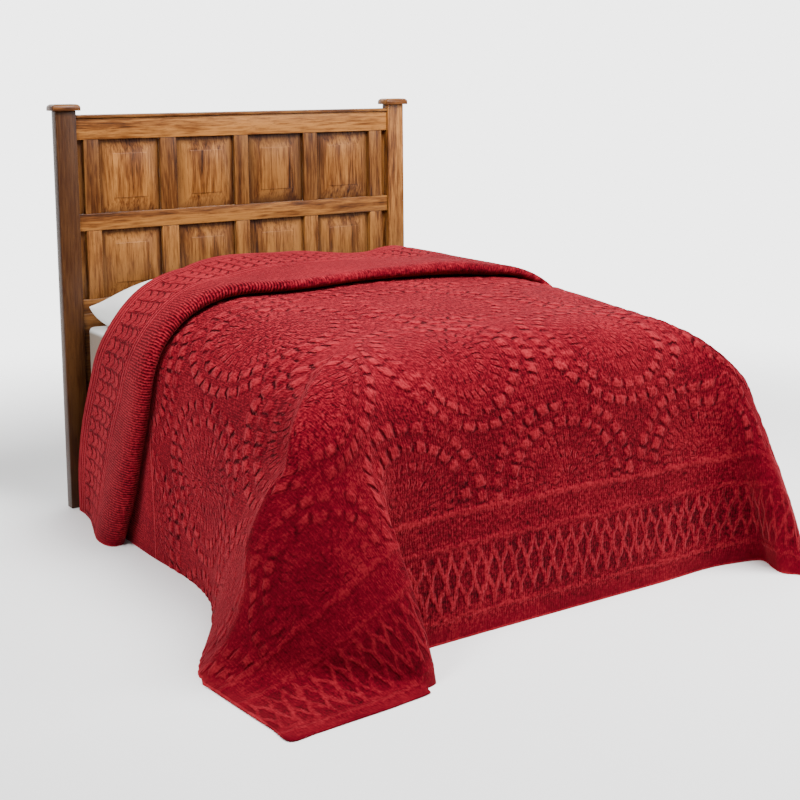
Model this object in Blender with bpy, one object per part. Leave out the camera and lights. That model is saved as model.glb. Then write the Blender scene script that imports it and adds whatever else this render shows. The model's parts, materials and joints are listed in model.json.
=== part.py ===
"""Chenille bedspread lying on a full-size bed.

Metres, +Z up, floor at z = 0.  X runs across the bed, the head end is +Y and the foot end is -Y.
The bedspread is one sheet: a band at its head end is turned back in a Z-fold over the pillows, its
sides and foot hang to the floor, and each foot corner falls in a flap whose tip lies on the floor.
The bed under it is plain: a post-and-panel headboard, a box base on feet, mattress, quilt, pillows.
"""
import math

import bmesh
import bpy
import numpy as np

COLLECTION = "chenille_bedspread"

# ---------------------------------------------------------------- where the bed stands in the frame
BED_X = -0.0528       # x of the headboard's middle
HEAD_Y = 1.0985       # y of the headboard's front face; tables below give y from that face

# ---------------------------------------------------------------- headboard
SLIP = 0.0003         # clearance between pieces that touch
POST_GAP = 1.400      # between the inner faces of the posts
POST_W, POST_D, POST_H = 0.080, 0.045, 1.540
CAP_H, CAP_OVER, CAP_ROUND = 0.025, 0.014, 0.007
LEDGE = dict(bottom=1.511, top=1.524, front=0.002, back=0.044, round=0.003)
RAIL_FRONT, RAIL_BACK = 0.010, 0.038
STILE_FRONT = 0.012
TONGUE_FRONT = 0.030  # the thin tongue along the back of each outer stile, let in to the post
PANEL_FRONT, PANEL_BACK = 0.022, 0.036
PANEL_BEVEL, PANEL_PROUD = 0.044, 0.008
EDGE_ROUND = 0.002

#    name          bottom  top
RAILS = (
    ("rail_top",   1.429, 1.5107),
    ("rail_middle", 1.080, 1.145),
    ("rail_low",   0.760, 0.814),
    ("rail_base",  0.240, 0.7597),  # a tall board down behind the mattress
)
#    name          centre  width
STILES = (
    ("stile_1",   -0.641, 0.059),
    ("stile_2",   -0.323, 0.070),
    ("stile_3",   -0.003, 0.062),
    ("stile_4",    0.319, 0.064),
    ("stile_5",    0.641, 0.062),
)
OUTER_STILES = ("stile_1", "stile_5")

# ---------------------------------------------------------------- bed, under the bedspread
MATTRESS = dict(width=1.370, head=-0.012, foot=-1.917, bottom=0.503, top=0.711, round=0.030)
BASE = dict(width=1.330, head=RAIL_FRONT - SLIP, foot=-1.880, bottom=0.200, top=0.5027, round=0.006)
FOOT_SIZE, FOOT_INSET, FOOT_ROUND = 0.060, 0.040, 0.004
BED_TOP = 0.7113
#    name            x     width
PILLOWS = (
    ("pillow_left", -0.340, 0.620),
    ("pillow_right", 0.330, 0.640),
)
PILLOW_HEAD, PILLOW_FOOT, PILLOW_TOP = -0.055, -0.515, 0.925
PILLOW_SQUARE = 3.6   # how square a pillow is in plan
PILLOW_RIM, PILLOW_SWELL = 0.80, 0.75  # powers that crowd its loops to the rim and plump its middle
PILLOW_LOOPS = (28, 12)                # round it and over it
QUILT = dict(left=-0.715, right=0.755, head=-0.560, foot=-1.915, under=0.0070, inside=0.022, edge=0.015)
QUILT_STEPS = (18, 14)                 # across and along
QUILT_TAPER = 0.8                      # where it thins towards the pillows, -1 at its foot to 1 at its head

# ---------------------------------------------------------------- bedspread
CLOTH = 0.006         # thickness with its pile
X_LEFT, X_RIGHT = -0.42, 0.48          # the flat middle of the top
Y_FOOT = -1.60                         # where the top starts to round over the foot end
SIDE_LEFT, SIDE_RIGHT = -0.757, 0.805  # the hanging sides
SIDE_FOOT = -1.957                     # the hanging foot end
DROP_Z = 0.600                         # height where a side has turned vertical
CROWN_Z = 0.935                        # highest part of the top
CROWN_SIDE, CROWN_FOOT = 0.018, 0.036  # how much lower its sides and its foot end are
ROUND_LEFT, ROUND_FOOT, ROUND_RIGHT = 2.2, 3.0, 2.4   # how square each shoulder is
ROUND_LEFT_CORNER, ROUND_RIGHT_CORNER = 2.0, 1.6
BEND = 0.05                            # length over which a bend is eased
LOW_HANG, LOW_LIE, LOW_KNEE = 0.16, 0.055, 0.03   # heights of the last edge loops over the floor
LYING, LYING_FAR = 0.030, 0.15         # cloth lying on the floor: for less it hangs, for more it lies
LIFT_OFF = 0.6                         # height, as a share of what lies, where it leaves its fall
FLARE = 1.3                            # how early a flap leaves the side on its way down
REST = CLOTH / 2                       # mid-surface height where cloth lies on the floor

# Lines of the head fold, from the left hem over the top to the right hem.  "down" is the share of
# the drop from the flat middle to the hem (for the top it is x); y runs from the headboard's front.
#    name              side     down   hem_y   nose_y  tuck_y  lift   puff
FOLD_LINES = (
    ("left_hem",       "left",  1.00, -0.030, -0.534, -0.430, 0.002, 1.60),
    ("left_low",       "left",  0.84, -0.040, -0.640, -0.470, 0.002, 1.50),
    ("left_middle",    "left",  0.68, -0.095, -0.712, -0.500, 0.002, 1.30),
    ("left_high",      "left",  0.48, -0.215, -0.795, -0.560, 0.002, 1.10),
    ("left_shoulder",  "left",  0.30, -0.312, -0.838, -0.600, 0.004, 1.00),
    ("left_top",       "left",  0.10, -0.305, -0.893, -0.650, 0.018, 0.95),
    ("middle_left",    "top",  -0.42, -0.300, -0.930, -0.690, 0.032, 0.90),
    ("middle",         "top",   0.03, -0.280, -1.000, -0.760, 0.040, 0.90),
    ("middle_right",   "top",   0.48, -0.245, -1.045, -0.830, 0.034, 0.90),
    ("right_top",      "right", 0.10, -0.225, -1.060, -0.865, 0.046, 0.78),
    ("right_shoulder", "right", 0.30, -0.200, -1.100, -0.910, 0.040, 0.62),
    ("right_high",     "right", 0.48, -0.150, -1.060, -0.880, 0.012, 0.80),
    ("right_middle",   "right", 0.68, -0.090, -0.985, -0.820, 0.002, 1.20),
    ("right_low",      "right", 0.84, -0.050, -0.900, -0.760, 0.002, 1.50),
    ("right_hem",      "right", 1.00, -0.030, -0.800, -0.690, 0.002, 1.60),
)

# The fold's section, from the hem of the turned-back band to the round-over at the foot.  A band,
# tuck or main row lies at "share" of the way along its part; a nose or turn row lies "share" metres
# towards the head from the nose or tuck line.
#    part     share   lift
FOLD_ROWS = (
    ("band",  0.000,  0.00),
    ("band",  0.180,  0.03),
    ("band",  0.370,  0.14),
    ("band",  0.560,  0.38),
    ("band",  0.750,  0.64),
    ("band",  0.900,  0.86),
    ("nose",  0.075,  0.97),
    ("nose",  0.040,  1.00),
    ("nose",  0.014,  0.92),
    ("nose",  0.002,  0.72),
    ("nose",  0.004,  0.50),
    ("nose",  0.020,  0.33),
    ("nose",  0.046,  0.27),
    ("tuck",  0.450,  0.27),
    ("tuck",  0.850,  0.27),
    ("tuck",  1.000,  0.23),
    ("turn",  0.007,  0.135),
    ("tuck",  1.000,  0.04),
    ("main",  0.025,  0.00),
    ("main",  0.100,  0.00),
    ("main",  0.190,  0.00),
    ("main",  0.280,  0.00),
    ("main",  0.400,  0.00),
    ("main",  0.520,  0.00),
    ("main",  0.640,  0.00),
    ("main",  0.760,  0.00),
    ("main",  0.880,  0.00),
    ("main",  1.000,  0.00),
)
NOSE_START, NOSE_END = 0.075, 0.046    # where the nose leaves the band, and its crease
NOSE_LIFT = 0.056     # height of the fold's rounded nose over the cloth in front of it
NOSE_FLAT, NOSE_FULL = 0.27, 0.41      # lifts between which a nose row takes up its line's puff

# Soft unevenness of the hanging sides: how deep, how long, where along the bed it starts.
WAVES = (
    (0.006, 0.46, 0.35),
    (0.003, 0.19, 0.00),
)
WAVES_FROM, WAVES_GROW = 0.35, 0.30    # shares of the drop where they start and how soon they are full
WAVES_END, WAVES_FADE = -1.45, 0.25    # y where they have died out before the corner, and over how much

# How far the hem of each side swings out before the corner, by the y where that cloth left the top.
#    y_top    out    towards the head
SIDE_FLARE = (
    (-1.15, 0.000, 0.000),
    (-1.30, 0.022, 0.015),
    (-1.45, 0.074, 0.082),
    (-1.60, 0.132, 0.151),
)

# Foot corners.  "turn" goes from the side (0) over the cloth's own corner (0.5) to the foot (1).
# "drop" is the place at DROP_Z, "land" where it meets the floor, "hem" where it ends; "swing" says
# how far the fall follows SWING, which leaves the side early and sweeps out again at the floor.
#    name          turn    drop_x  drop_y   land_x  land_y   hem_x   hem_y   swing
LEFT_CORNER = (
    ("side",       0.000, -0.757, -1.600,  -0.889, -1.449,  -0.889, -1.449,  0.00),
    ("side_out",   0.140, -0.780, -1.750,  -0.985, -1.585,  -0.992, -1.594,  0.40),
    ("ridge_in",   0.245, -0.842, -1.858,  -1.066, -1.719,  -1.081, -1.736,  0.90),
    ("ridge",      0.279, -0.857, -1.876,  -1.082, -1.757,  -1.098, -1.774,  1.00),
    ("ridge_out",  0.310, -0.853, -1.893,  -1.062, -1.797,  -1.094, -1.840,  1.00),
    ("face_out",   0.350, -0.838, -1.912,  -1.028, -1.845,  -1.090, -1.920,  0.80),
    ("face",       0.420, -0.807, -1.940,  -0.960, -1.930,  -1.081, -2.080,  0.50),
    ("tip_side",   0.465, -0.789, -1.953,  -0.917, -1.975,  -1.075, -2.172,  0.40),
    ("tip",        0.500, -0.775, -1.964,  -0.880, -2.015,  -1.071, -2.256,  0.30),
    ("tip_foot",   0.535, -0.760, -1.973,  -0.838, -2.050,  -0.990, -2.255,  0.20),
    ("face_foot",  0.580, -0.745, -1.979,  -0.785, -2.090,  -0.898, -2.250,  0.10),
    ("face_end",   0.660, -0.716, -1.987,  -0.685, -2.155,  -0.712, -2.238,  0.00),
    ("fold",       0.730, -0.686, -1.988,  -0.598, -2.190,  -0.592, -2.213,  0.00),
    ("fold_edge",  0.760, -0.662, -1.983,  -0.563, -2.170,  -0.560, -2.177,  0.00),
    ("fold_back",  0.790, -0.634, -1.974,  -0.580, -2.112,  -0.580, -2.112,  0.00),
    ("fold_in",    0.860, -0.566, -1.962,  -0.672, -2.005,  -0.672, -2.005,  0.00),
    ("fold_out",   0.930, -0.494, -1.958,  -0.575, -1.970,  -0.575, -1.970,  0.00),
    ("foot",       1.000, -0.420, -1.957,  -0.430, -1.960,  -0.430, -1.960,  0.00),
)
RIGHT_CORNER = (
    ("side",       0.000,  0.805, -1.600,   0.937, -1.449,   0.937, -1.449,  0.00),
    ("side_out",   0.140,  0.826, -1.750,   1.033, -1.585,   1.040, -1.594,  0.20),
    ("ridge_in",   0.245,  0.862, -1.868,   1.114, -1.715,   1.130, -1.730,  0.50),
    ("ridge",      0.290,  0.874, -1.912,   1.132, -1.765,   1.150, -1.780,  0.50),
    ("face_out",   0.350,  0.876, -1.950,   1.118, -1.850,   1.162, -1.915,  0.40),
    ("face",       0.430,  0.873, -1.978,   1.095, -1.965,   1.182, -2.080,  0.20),
    ("tip_side",   0.465,  0.868, -1.987,   1.075, -2.020,   1.192, -2.160,  0.10),
    ("tip",        0.500,  0.862, -1.995,   1.052, -2.068,   1.200, -2.243,  0.00),
    ("tip_foot",   0.535,  0.854, -2.000,   1.030, -2.105,   1.128, -2.245,  0.00),
    ("face_foot",  0.600,  0.838, -2.004,   0.992, -2.150,   1.080, -2.243,  0.00),
    ("fold",       0.680,  0.806, -2.002,   0.935, -2.180,   0.950, -2.216,  0.00),
    ("fold_edge",  0.725,  0.775, -1.994,   0.896, -2.130,   0.896, -2.136,  0.00),
    ("fold_back",  0.760,  0.742, -1.982,   0.912, -2.075,   0.912, -2.075,  0.00),
    ("fold_in",    0.800,  0.695, -1.968,   0.938, -2.006,   0.938, -2.006,  0.00),
    ("fold_out",   0.860,  0.624, -1.959,   0.815, -1.960,   0.815, -1.960,  0.00),
    ("foot",       1.000,  0.480, -1.957,   0.480, -1.957,   0.480, -1.957,  0.00),
)
# Share of the way from drop to land, by the share of the fall.
SWING = ((0.00, 0.00), (0.11, 0.19), (0.33, 0.42), (0.61, 0.49), (0.73, 0.58), (0.87, 0.75), (1.00, 1.00))

FOOT_LEAN, FOOT_OUT, FOOT_NEAR = 0.010, 0.003, 0.2    # the foot hem's drift next to the left corner

# Edge loops of the sheet: down each line (shoulder, fall, to the floor, to the hem) and across.
RING_STEPS = (4, 5, 2, 2)
TOP_STEPS = 8
TURN_STEP = 0.065     # corners get a loop between rows further apart than this
SHOULDER_SAMPLES, FALL_SAMPLES, RAY_SAMPLES = 60, 120, 240
NEAR = 0.004          # share of a line's length over which its slope is taken


# ---------------------------------------------------------------- small helpers
def principled(name, colour, roughness, metallic=0.0):
    """A Principled material; colour is linear RGB."""
    mat = bpy.data.materials.new(name)
    mat.use_nodes = True
    bsdf = mat.node_tree.nodes["Principled BSDF"]
    bsdf.inputs["Base Color"].default_value = (*colour, 1.0)
    bsdf.inputs["Roughness"].default_value = roughness
    bsdf.inputs["Metallic"].default_value = metallic
    mat.diffuse_color = (*colour, 1.0)
    return mat


def curve_through(xs, ys):
    """Smooth function through table rows (cubic Hermite with limited slopes)."""
    xs, ys = np.asarray(xs, float), np.asarray(ys, float)
    step, rise = np.diff(xs), np.diff(ys)
    slope = rise / step
    tangent = np.empty_like(ys)
    tangent[0], tangent[-1] = slope[0], slope[-1]
    for k in range(1, len(xs) - 1):
        tangent[k] = (slope[k - 1] * step[k] + slope[k] * step[k - 1]) / (step[k - 1] + step[k])

    def value(x):
        x = np.clip(x, xs[0], xs[-1])
        k = np.clip(np.searchsorted(xs, x, side="right") - 1, 0, len(xs) - 2)
        h = step[k]
        t = (x - xs[k]) / h
        return ((2 * t**3 - 3 * t**2 + 1) * ys[k] + (t**3 - 2 * t**2 + t) * h * tangent[k]
                + (3 * t**2 - 2 * t**3) * ys[k + 1] + (t**3 - t**2) * h * tangent[k + 1])

    return value


def ease(path, length):
    """Round the bends of a polyline by averaging over a sliding length; its ends stay put."""
    seg = np.linalg.norm(np.diff(path, axis=0), axis=1)
    s = np.concatenate([[0.0], np.cumsum(seg)])
    even = np.linspace(0.0, s[-1], len(path))
    p = np.stack([np.interp(even, s, path[:, k]) for k in range(path.shape[1])], axis=1)
    reach = np.minimum(length / 2, np.minimum(even, s[-1] - even))
    whole = np.concatenate([np.zeros((1, p.shape[1])),
                            np.cumsum((p[1:] + p[:-1]) / 2 * (even[1] - even[0]), axis=0)])
    out = p.copy()
    for k in range(p.shape[1]):
        high = np.interp(even + reach, even, whole[:, k])
        low = np.interp(even - reach, even, whole[:, k])
        wide = reach > 1e-6
        out[wide, k] = (high[wide] - low[wide]) / (2 * reach[wide])
    return out


def lengths(path):
    """Length along a polyline up to each of its points."""
    return np.concatenate([[0.0], np.cumsum(np.linalg.norm(np.diff(path, axis=0), axis=1))])


# ---------------------------------------------------------------- the top and the hanging rays
def crown(x, y):
    """Height of the top's middle: highest along the bed's centre line, lower towards the foot."""
    across = (x - (X_LEFT + X_RIGHT) / 2) / ((X_RIGHT - X_LEFT) / 2)
    down = np.clip((-1.0 - y) / (-1.0 - Y_FOOT), 0.0, 1.0)
    return CROWN_Z - CROWN_SIDE * across**2 - CROWN_FOOT * down**2


def ray(start, drop, land, hem, square, swing=0.0):
    """One line of the cloth from the flat middle over the shoulder to the hem.

    start, drop, land and hem are plan points.  The shoulder is a rounded quarter between start and
    drop, the fall leaves the side towards land, and what is left lies on the floor up to hem.
    Returns the line as a polyline and the shares of its length where its four stretches end.
    """
    start, drop, land, hem = (np.array(p, float) for p in (start, drop, land, hem))
    top = crown(*start)
    turn = np.linspace(0.0, math.pi / 2, SHOULDER_SAMPLES)
    out = np.sin(turn) ** (2 / square)
    high = np.cos(turn) ** (2 / square)
    shoulder = np.column_stack([start + out[:, None] * (drop - start),
                                DROP_Z + (top - DROP_Z) * high])
    flat = float(np.linalg.norm(hem - land))
    low = LOW_HANG + (LOW_LIE - LOW_HANG) * min(1.0, flat / LYING_FAR)
    lying = flat > LYING
    touch = min(LOW_LIE, LIFT_OFF * flat) if lying else 0.0

    z = np.linspace(DROP_Z, touch, FALL_SAMPLES)[1:]
    early = curve_through(*zip(*SWING))(1.0 - z / DROP_Z)
    spread = (1.0 - swing) * (1.0 - (z / DROP_Z) ** FLARE) + swing * early
    path = np.concatenate([shoulder, np.column_stack([drop + spread[:, None] * (land - drop), z])])
    if lying:
        t = np.linspace(0.0, 1.0, SHOULDER_SAMPLES)[1:, None]
        knee, end = np.array([*land, REST]), np.array([*hem, REST])
        path = np.concatenate([path, (1 - t) ** 2 * path[-1] + 2 * t * (1 - t) * knee + t**2 * end])
    s = lengths(path)
    drop_at, knee_at = SHOULDER_SAMPLES - 1, -SHOULDER_SAMPLES // 2
    s_low, s_knee = np.interp((-low, LOW_KNEE * (flat / LYING - 1.0)), -path[drop_at:, 2], s[drop_at:])
    marks = np.array([s[drop_at], s_low, s[knee_at] if lying else s_knee, s[-1]]) / s[-1]
    even = np.linspace(0.0, s[-1], RAY_SAMPLES)
    path = np.stack([np.interp(even, s, path[:, k]) for k in range(3)], axis=1)
    return ease(path, BEND), marks


def ring_shares(marks):
    """Shares of a line's length where the sheet has its edge loops."""
    ends = np.concatenate([[0], np.cumsum(RING_STEPS)])
    return np.interp(np.arange(ends[-1] + 1), ends, [0.0, *marks])


def at_shares(path, shares):
    """Points at shares of a polyline's length."""
    s = lengths(path)
    return np.stack([np.interp(np.asarray(shares) * s[-1], s, path[:, k]) for k in range(3)], axis=1)


def ring_points(line):
    """Points of a line where the sheet has its edge loops."""
    path, marks = line
    return at_shares(path, ring_shares(marks))


# ---------------------------------------------------------------- the head fold
class Fold:
    """The head fold: where each of its rows lies across the bed."""

    def __init__(self):
        """Put smooth curves through the fold's lines."""
        place = {"left": lambda d: -1.0 - d, "top": self.across, "right": lambda d: 1.0 + d}
        at = [place[side](down) for _, side, down, *_ in FOLD_LINES]
        hem, nose, tuck, lift, puff = zip(*[row[3:] for row in FOLD_LINES])
        self.hem, self.nose, self.tuck = (curve_through(at, v) for v in (hem, nose, tuck))
        self.lift, self.puff = curve_through(at, lift), curve_through(at, puff)

    @staticmethod
    def across(x):
        """Position on the flat middle as -1 (left edge) to 1 (right edge)."""
        return (2 * x - X_LEFT - X_RIGHT) / (X_RIGHT - X_LEFT)

    def row(self, part, share, lift, where):
        """y and height above the cloth's bed for one row, at places "where" across the bed."""
        hem, nose, tuck = self.hem(where), self.nose(where), self.tuck(where)
        puff = self.puff(where)
        start, crease = nose + NOSE_START * puff, nose + NOSE_END * puff
        y = {"band": hem + share * (start - hem), "nose": nose + share * puff,
             "tuck": crease + share * (tuck - crease), "turn": tuck + share,
             "main": tuck + share * (Y_FOOT - tuck)}[part]
        full = {"band": 1.0, "nose": min(1.0, (lift - NOSE_FLAT) / (NOSE_FULL - NOSE_FLAT))}.get(part, 0.0)
        rise = lift * NOSE_LIFT * (1.0 + full * (puff - 1.0))
        if part == "band":
            rise = rise + (1.0 - lift) * self.lift(where)
        return y, rise


def waves(y, down):
    """Soft unevenness of a hanging side: a trough beside the fold, then slow swells."""
    sway = sum(deep * np.sin((y + start) * 2 * math.pi / long) for deep, long, start in WAVES)
    return sway * np.clip((down - WAVES_FROM) / WAVES_GROW, 0.0, 1.0)


def side_ray(sign, y, flare_y):
    """The hanging line of one side (sign -1 left, 1 right) at y, flared by how far down it left."""
    edge, start = (SIDE_LEFT, X_LEFT) if sign < 0 else (SIDE_RIGHT, X_RIGHT)
    table = np.array(SIDE_FLARE)[::-1]
    out = float(curve_through(table[:, 0], table[:, 1])(flare_y))
    back = float(curve_through(table[:, 0], table[:, 2])(flare_y))
    hem = (edge + sign * out, y + back)
    return ray((start, y), (edge, y), hem, hem, ROUND_LEFT if sign < 0 else ROUND_RIGHT)


def side_row(fold, sign, row):
    """Points of one row of a hanging side, from the flat middle to the hem."""
    y0 = float(fold.row(*row, sign * 1.0)[0])
    path, marks = side_ray(sign, y0, min(y0, SIDE_FLARE[0][0]) if row[0] == "main" else SIDE_FLARE[0][0])
    shares = ring_shares(marks)
    y, rise = fold.row(*row, sign * (1.0 + shares))
    p = at_shares(path, shares)
    ahead = at_shares(path, np.clip(shares + NEAR, 0, 1)) - at_shares(path, np.clip(shares - NEAR, 0, 1))
    normal = np.column_stack([-ahead[:, 2], ahead[:, 0]]) * sign
    normal /= np.linalg.norm(normal, axis=1)[:, None]
    normal[0] = (0.0, 1.0)
    if row[0] == "main":
        fade = np.clip((y0 - WAVES_END) / WAVES_FADE, 0.0, 1.0) * row[1] ** 0.3
        rise = rise + waves(y, shares) * fade
    p[:, 1] += y - y0
    p[:, 0] += normal[:, 0] * rise
    p[:, 2] += normal[:, 1] * rise
    return p


def top_row(fold, row, xs):
    """Points of one row of the top between the sides."""
    y, rise = fold.row(*row, Fold.across(xs))
    return np.column_stack([xs, y, crown(xs, y) + rise])


def corner_rays(table, start, squares, turns):
    """Rays fanning round a foot corner, one for each turn."""
    square_at = curve_through((0.0, 0.5, 1.0), squares)
    rows = np.array([r[1:] for r in table])
    smooth = [curve_through(rows[:, 0], rows[:, k]) for k in range(1, 8)]
    rays = []
    for turn in turns:
        v = [float(f(turn)) for f in smooth]
        square = float(square_at(turn))
        rays.append(ray(start, v[0:2], v[2:4], v[4:6], square, v[6]))
    return rays


def foot_ray(x):
    """The hanging line of the foot end at x; next to the left corner its hem drifts to the fold."""
    near = max(0.0, 1.0 - (x - X_LEFT) / FOOT_NEAR)
    hem = (x - FOOT_LEAN * near, SIDE_FOOT - FOOT_OUT * near)
    return ray((x, Y_FOOT), (x, SIDE_FOOT), hem, hem, ROUND_FOOT)


# ---------------------------------------------------------------- the sheet
def patch(bm, points):
    """Add a grid of quads over points[i][j]; corners that meet are welded later."""
    grid = [[bm.verts.new(p) for p in line] for line in points]
    for a, b in zip(grid, grid[1:]):
        for k in range(len(a) - 1):
            bm.faces.new((a[k], a[k + 1], b[k + 1], b[k]))


def mid_surface():
    """The bedspread as one open surface through the middle of the cloth."""
    fold = Fold()
    xs = np.linspace(X_LEFT, X_RIGHT, TOP_STEPS + 1)
    bm = bmesh.new()
    patch(bm, [top_row(fold, row, xs) for row in FOLD_ROWS])
    for sign in (-1, 1):
        patch(bm, [side_row(fold, sign, row) for row in FOLD_ROWS])
    patch(bm, [ring_points(foot_ray(x)) for x in xs])
    for table, x, squares in ((LEFT_CORNER, X_LEFT, (ROUND_LEFT, ROUND_LEFT_CORNER, ROUND_FOOT)),
                              (RIGHT_CORNER, X_RIGHT, (ROUND_RIGHT, ROUND_RIGHT_CORNER, ROUND_FOOT))):
        rows = [r[1] for r in table]
        turns = sorted(rows + [(a + b) / 2 for a, b in zip(rows, rows[1:]) if b - a > TURN_STEP])
        patch(bm, [ring_points(r) for r in corner_rays(table, (x, Y_FOOT), squares, turns)])
    bmesh.ops.remove_doubles(bm, verts=bm.verts, dist=0.00005)
    bmesh.ops.recalc_face_normals(bm, faces=bm.faces)
    bm.normal_update()
    return bm


def sheet_mesh(mid, name):
    """Give the surface its thickness: two skins CLOTH apart, closed along the hem."""
    mid.verts.ensure_lookup_table()
    up = sum(v.normal.z for v in mid.verts) > 0
    sign = 1.0 if up else -1.0
    bm = bmesh.new()
    skins = []
    for side in (0.5, -0.5):
        skin = []
        for v in mid.verts:
            p = v.co + v.normal * sign * side * CLOTH
            skin.append(bm.verts.new((p.x, p.y, max(p.z, 0.0))))
        skins.append(skin)
    outer, inner = skins
    for f in mid.faces:
        loop = [v.index for v in f.verts]
        bm.faces.new([outer[k] for k in loop])
        bm.faces.new([inner[k] for k in reversed(loop)])
    for e in mid.edges:
        if len(e.link_faces) == 1:
            a, b = (v.index for v in e.verts)
            bm.faces.new((outer[a], outer[b], inner[b], inner[a]))
    bmesh.ops.recalc_face_normals(bm, faces=bm.faces)
    bmesh.ops.translate(bm, verts=bm.verts, vec=(BED_X, HEAD_Y, 0.0))
    mesh = bpy.data.meshes.new(name)
    bm.to_mesh(mesh)
    bm.free()
    return mesh


# ---------------------------------------------------------------- plain pieces of the bed
def box_form(x, y, z, round_edges, segments):
    """A cuboid between the given x, y and z pairs (bed frame), its edges bevelled."""
    bm = bmesh.new()
    bmesh.ops.create_cube(bm, size=1.0)
    size = [b - a for a, b in (x, y, z)]
    middle = [(a + b) / 2 for a, b in (x, y, z)]
    bmesh.ops.scale(bm, verts=bm.verts, vec=size)
    bmesh.ops.translate(bm, verts=bm.verts, vec=middle)
    if round_edges:
        bmesh.ops.bevel(bm, geom=bm.edges[:], offset=round_edges, segments=segments,
                        profile=0.5, affect="EDGES")
    return bm


def box(name, x, y, z, round_edges=0.0, segments=1):
    """The mesh of a cuboid."""
    return finish_mesh(box_form(x, y, z, round_edges, segments), name)


def outer_stile(name, x, z, post_x):
    """A stile whose back runs on in a thin tongue to the post beside it."""
    bm = box_form(x, (STILE_FRONT, RAIL_BACK), z, EDGE_ROUND, 1)
    bmesh.ops.bisect_plane(bm, geom=bm.verts[:] + bm.edges[:] + bm.faces[:],
                           plane_co=(0.0, TONGUE_FRONT, 0.0), plane_no=(0.0, 1.0, 0.0))
    outward = math.copysign(1.0, post_x)
    back = [f for f in bm.faces if f.normal.x * outward > 0.99 and f.calc_center_median().y > TONGUE_FRONT]
    tongue = bmesh.ops.extrude_face_region(bm, geom=back)["geom"]
    bmesh.ops.delete(bm, geom=back, context="FACES_KEEP_BOUNDARY")
    for v in (g for g in tongue if isinstance(g, bmesh.types.BMVert)):
        v.co.x = post_x
    return finish_mesh(bm, name)


def finish_mesh(bm, name):
    """A mesh of what has been built in the bed's frame, moved to its place in the part's."""
    bmesh.ops.recalc_face_normals(bm, faces=bm.faces)
    bmesh.ops.translate(bm, verts=bm.verts, vec=(BED_X, HEAD_Y, 0.0))
    mesh = bpy.data.meshes.new(name)
    bm.to_mesh(mesh)
    bm.free()
    return mesh


def raised_panel(name, x, z):
    """A fielded panel: a board whose front slopes up to a raised middle."""
    bm = bmesh.new()
    bmesh.ops.create_cube(bm, size=1.0)
    bmesh.ops.scale(bm, verts=bm.verts, vec=(x[1] - x[0], PANEL_BACK - PANEL_FRONT, z[1] - z[0]))
    bmesh.ops.translate(bm, verts=bm.verts, vec=((x[0] + x[1]) / 2, (PANEL_FRONT + PANEL_BACK) / 2,
                                                 (z[0] + z[1]) / 2))
    front = [f for f in bm.faces if f.normal.y < -0.5]
    bmesh.ops.inset_region(bm, faces=front, thickness=PANEL_BEVEL)
    bmesh.ops.translate(bm, verts=front[0].verts[:], vec=(0.0, -PANEL_PROUD, 0.0))
    return finish_mesh(bm, name)


def pillow(name, x, width):
    """A plump pillow, squared in plan, on a flat underside: the upper half of a sphere reshaped."""
    bm = bmesh.new()
    bmesh.ops.create_uvsphere(bm, u_segments=PILLOW_LOOPS[0], v_segments=PILLOW_LOOPS[1],
                              radius=1.0)
    bmesh.ops.delete(bm, geom=[v for v in bm.verts if v.co.z < -SLIP], context="VERTS")
    rim = sorted((v for v in bm.verts if v.is_boundary), key=lambda v: math.atan2(v.co.y, v.co.x))
    bm.faces.new(rim)
    middle, half = (PILLOW_HEAD + PILLOW_FOOT) / 2, (PILLOW_HEAD - PILLOW_FOOT) / 2
    for v in bm.verts:
        angle = math.atan2(v.co.y, v.co.x)
        squared = (abs(math.cos(angle)) ** PILLOW_SQUARE + abs(math.sin(angle)) ** PILLOW_SQUARE) ** (
            -1 / PILLOW_SQUARE)
        reach = math.hypot(v.co.x, v.co.y) ** PILLOW_RIM * squared
        v.co = (x + width / 2 * reach * math.cos(angle), middle + half * reach * math.sin(angle),
                BED_TOP + (PILLOW_TOP - BED_TOP) * max(v.co.z, 0.0) ** PILLOW_SWELL)
    return finish_mesh(bm, name)


def shoulder_height(share, square):
    """Height of a rounded shoulder, 1 where it starts and 0 where it has turned down."""
    return max(0.0, 1.0 - min(1.0, max(0.0, share)) ** square) ** (1 / square)


def quilt(name):
    """The plain quilt that rounds the bed under the bedspread, flat underneath."""
    q = QUILT
    half = ((q["right"] - q["left"]) / 2, (q["head"] - q["foot"]) / 2)
    reach = q["inside"]
    bm = bmesh.new()
    bmesh.ops.create_grid(bm, x_segments=QUILT_STEPS[0], y_segments=QUILT_STEPS[1], size=1.0)
    for v in bm.verts:
        x = (q["left"] + q["right"]) / 2 + half[0] * v.co.x
        y = (q["head"] + q["foot"]) / 2 + half[1] * v.co.y
        side = max((X_LEFT - x) / (X_LEFT - SIDE_LEFT - reach), (x - X_RIGHT) / (SIDE_RIGHT - reach - X_RIGHT))
        high = shoulder_height(side, ROUND_LEFT if x < 0 else ROUND_RIGHT)
        high *= shoulder_height((Y_FOOT - y) / (Y_FOOT - SIDE_FOOT - reach), ROUND_FOOT)
        z = DROP_Z + (float(crown(x, y)) - DROP_Z) * high - q["under"]
        taper = shoulder_height((v.co.y - QUILT_TAPER) / (1.0 - QUILT_TAPER), 2.0)
        z = BED_TOP + (z - BED_TOP) * (0.5 + 0.5 * taper)
        v.co = (x, y, max(z, BED_TOP + q["edge"]))
    skirt = bmesh.ops.extrude_face_region(bm, geom=bm.faces[:])["geom"]
    low = [g for g in skirt if isinstance(g, bmesh.types.BMVert)]
    for v in low:
        v.co.z = BED_TOP
    rim = {v for v in low if any(w not in low for e in v.link_edges for w in e.verts)}
    bmesh.ops.dissolve_verts(bm, verts=[v for v in low if v not in rim])
    return finish_mesh(bm, name)


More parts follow.
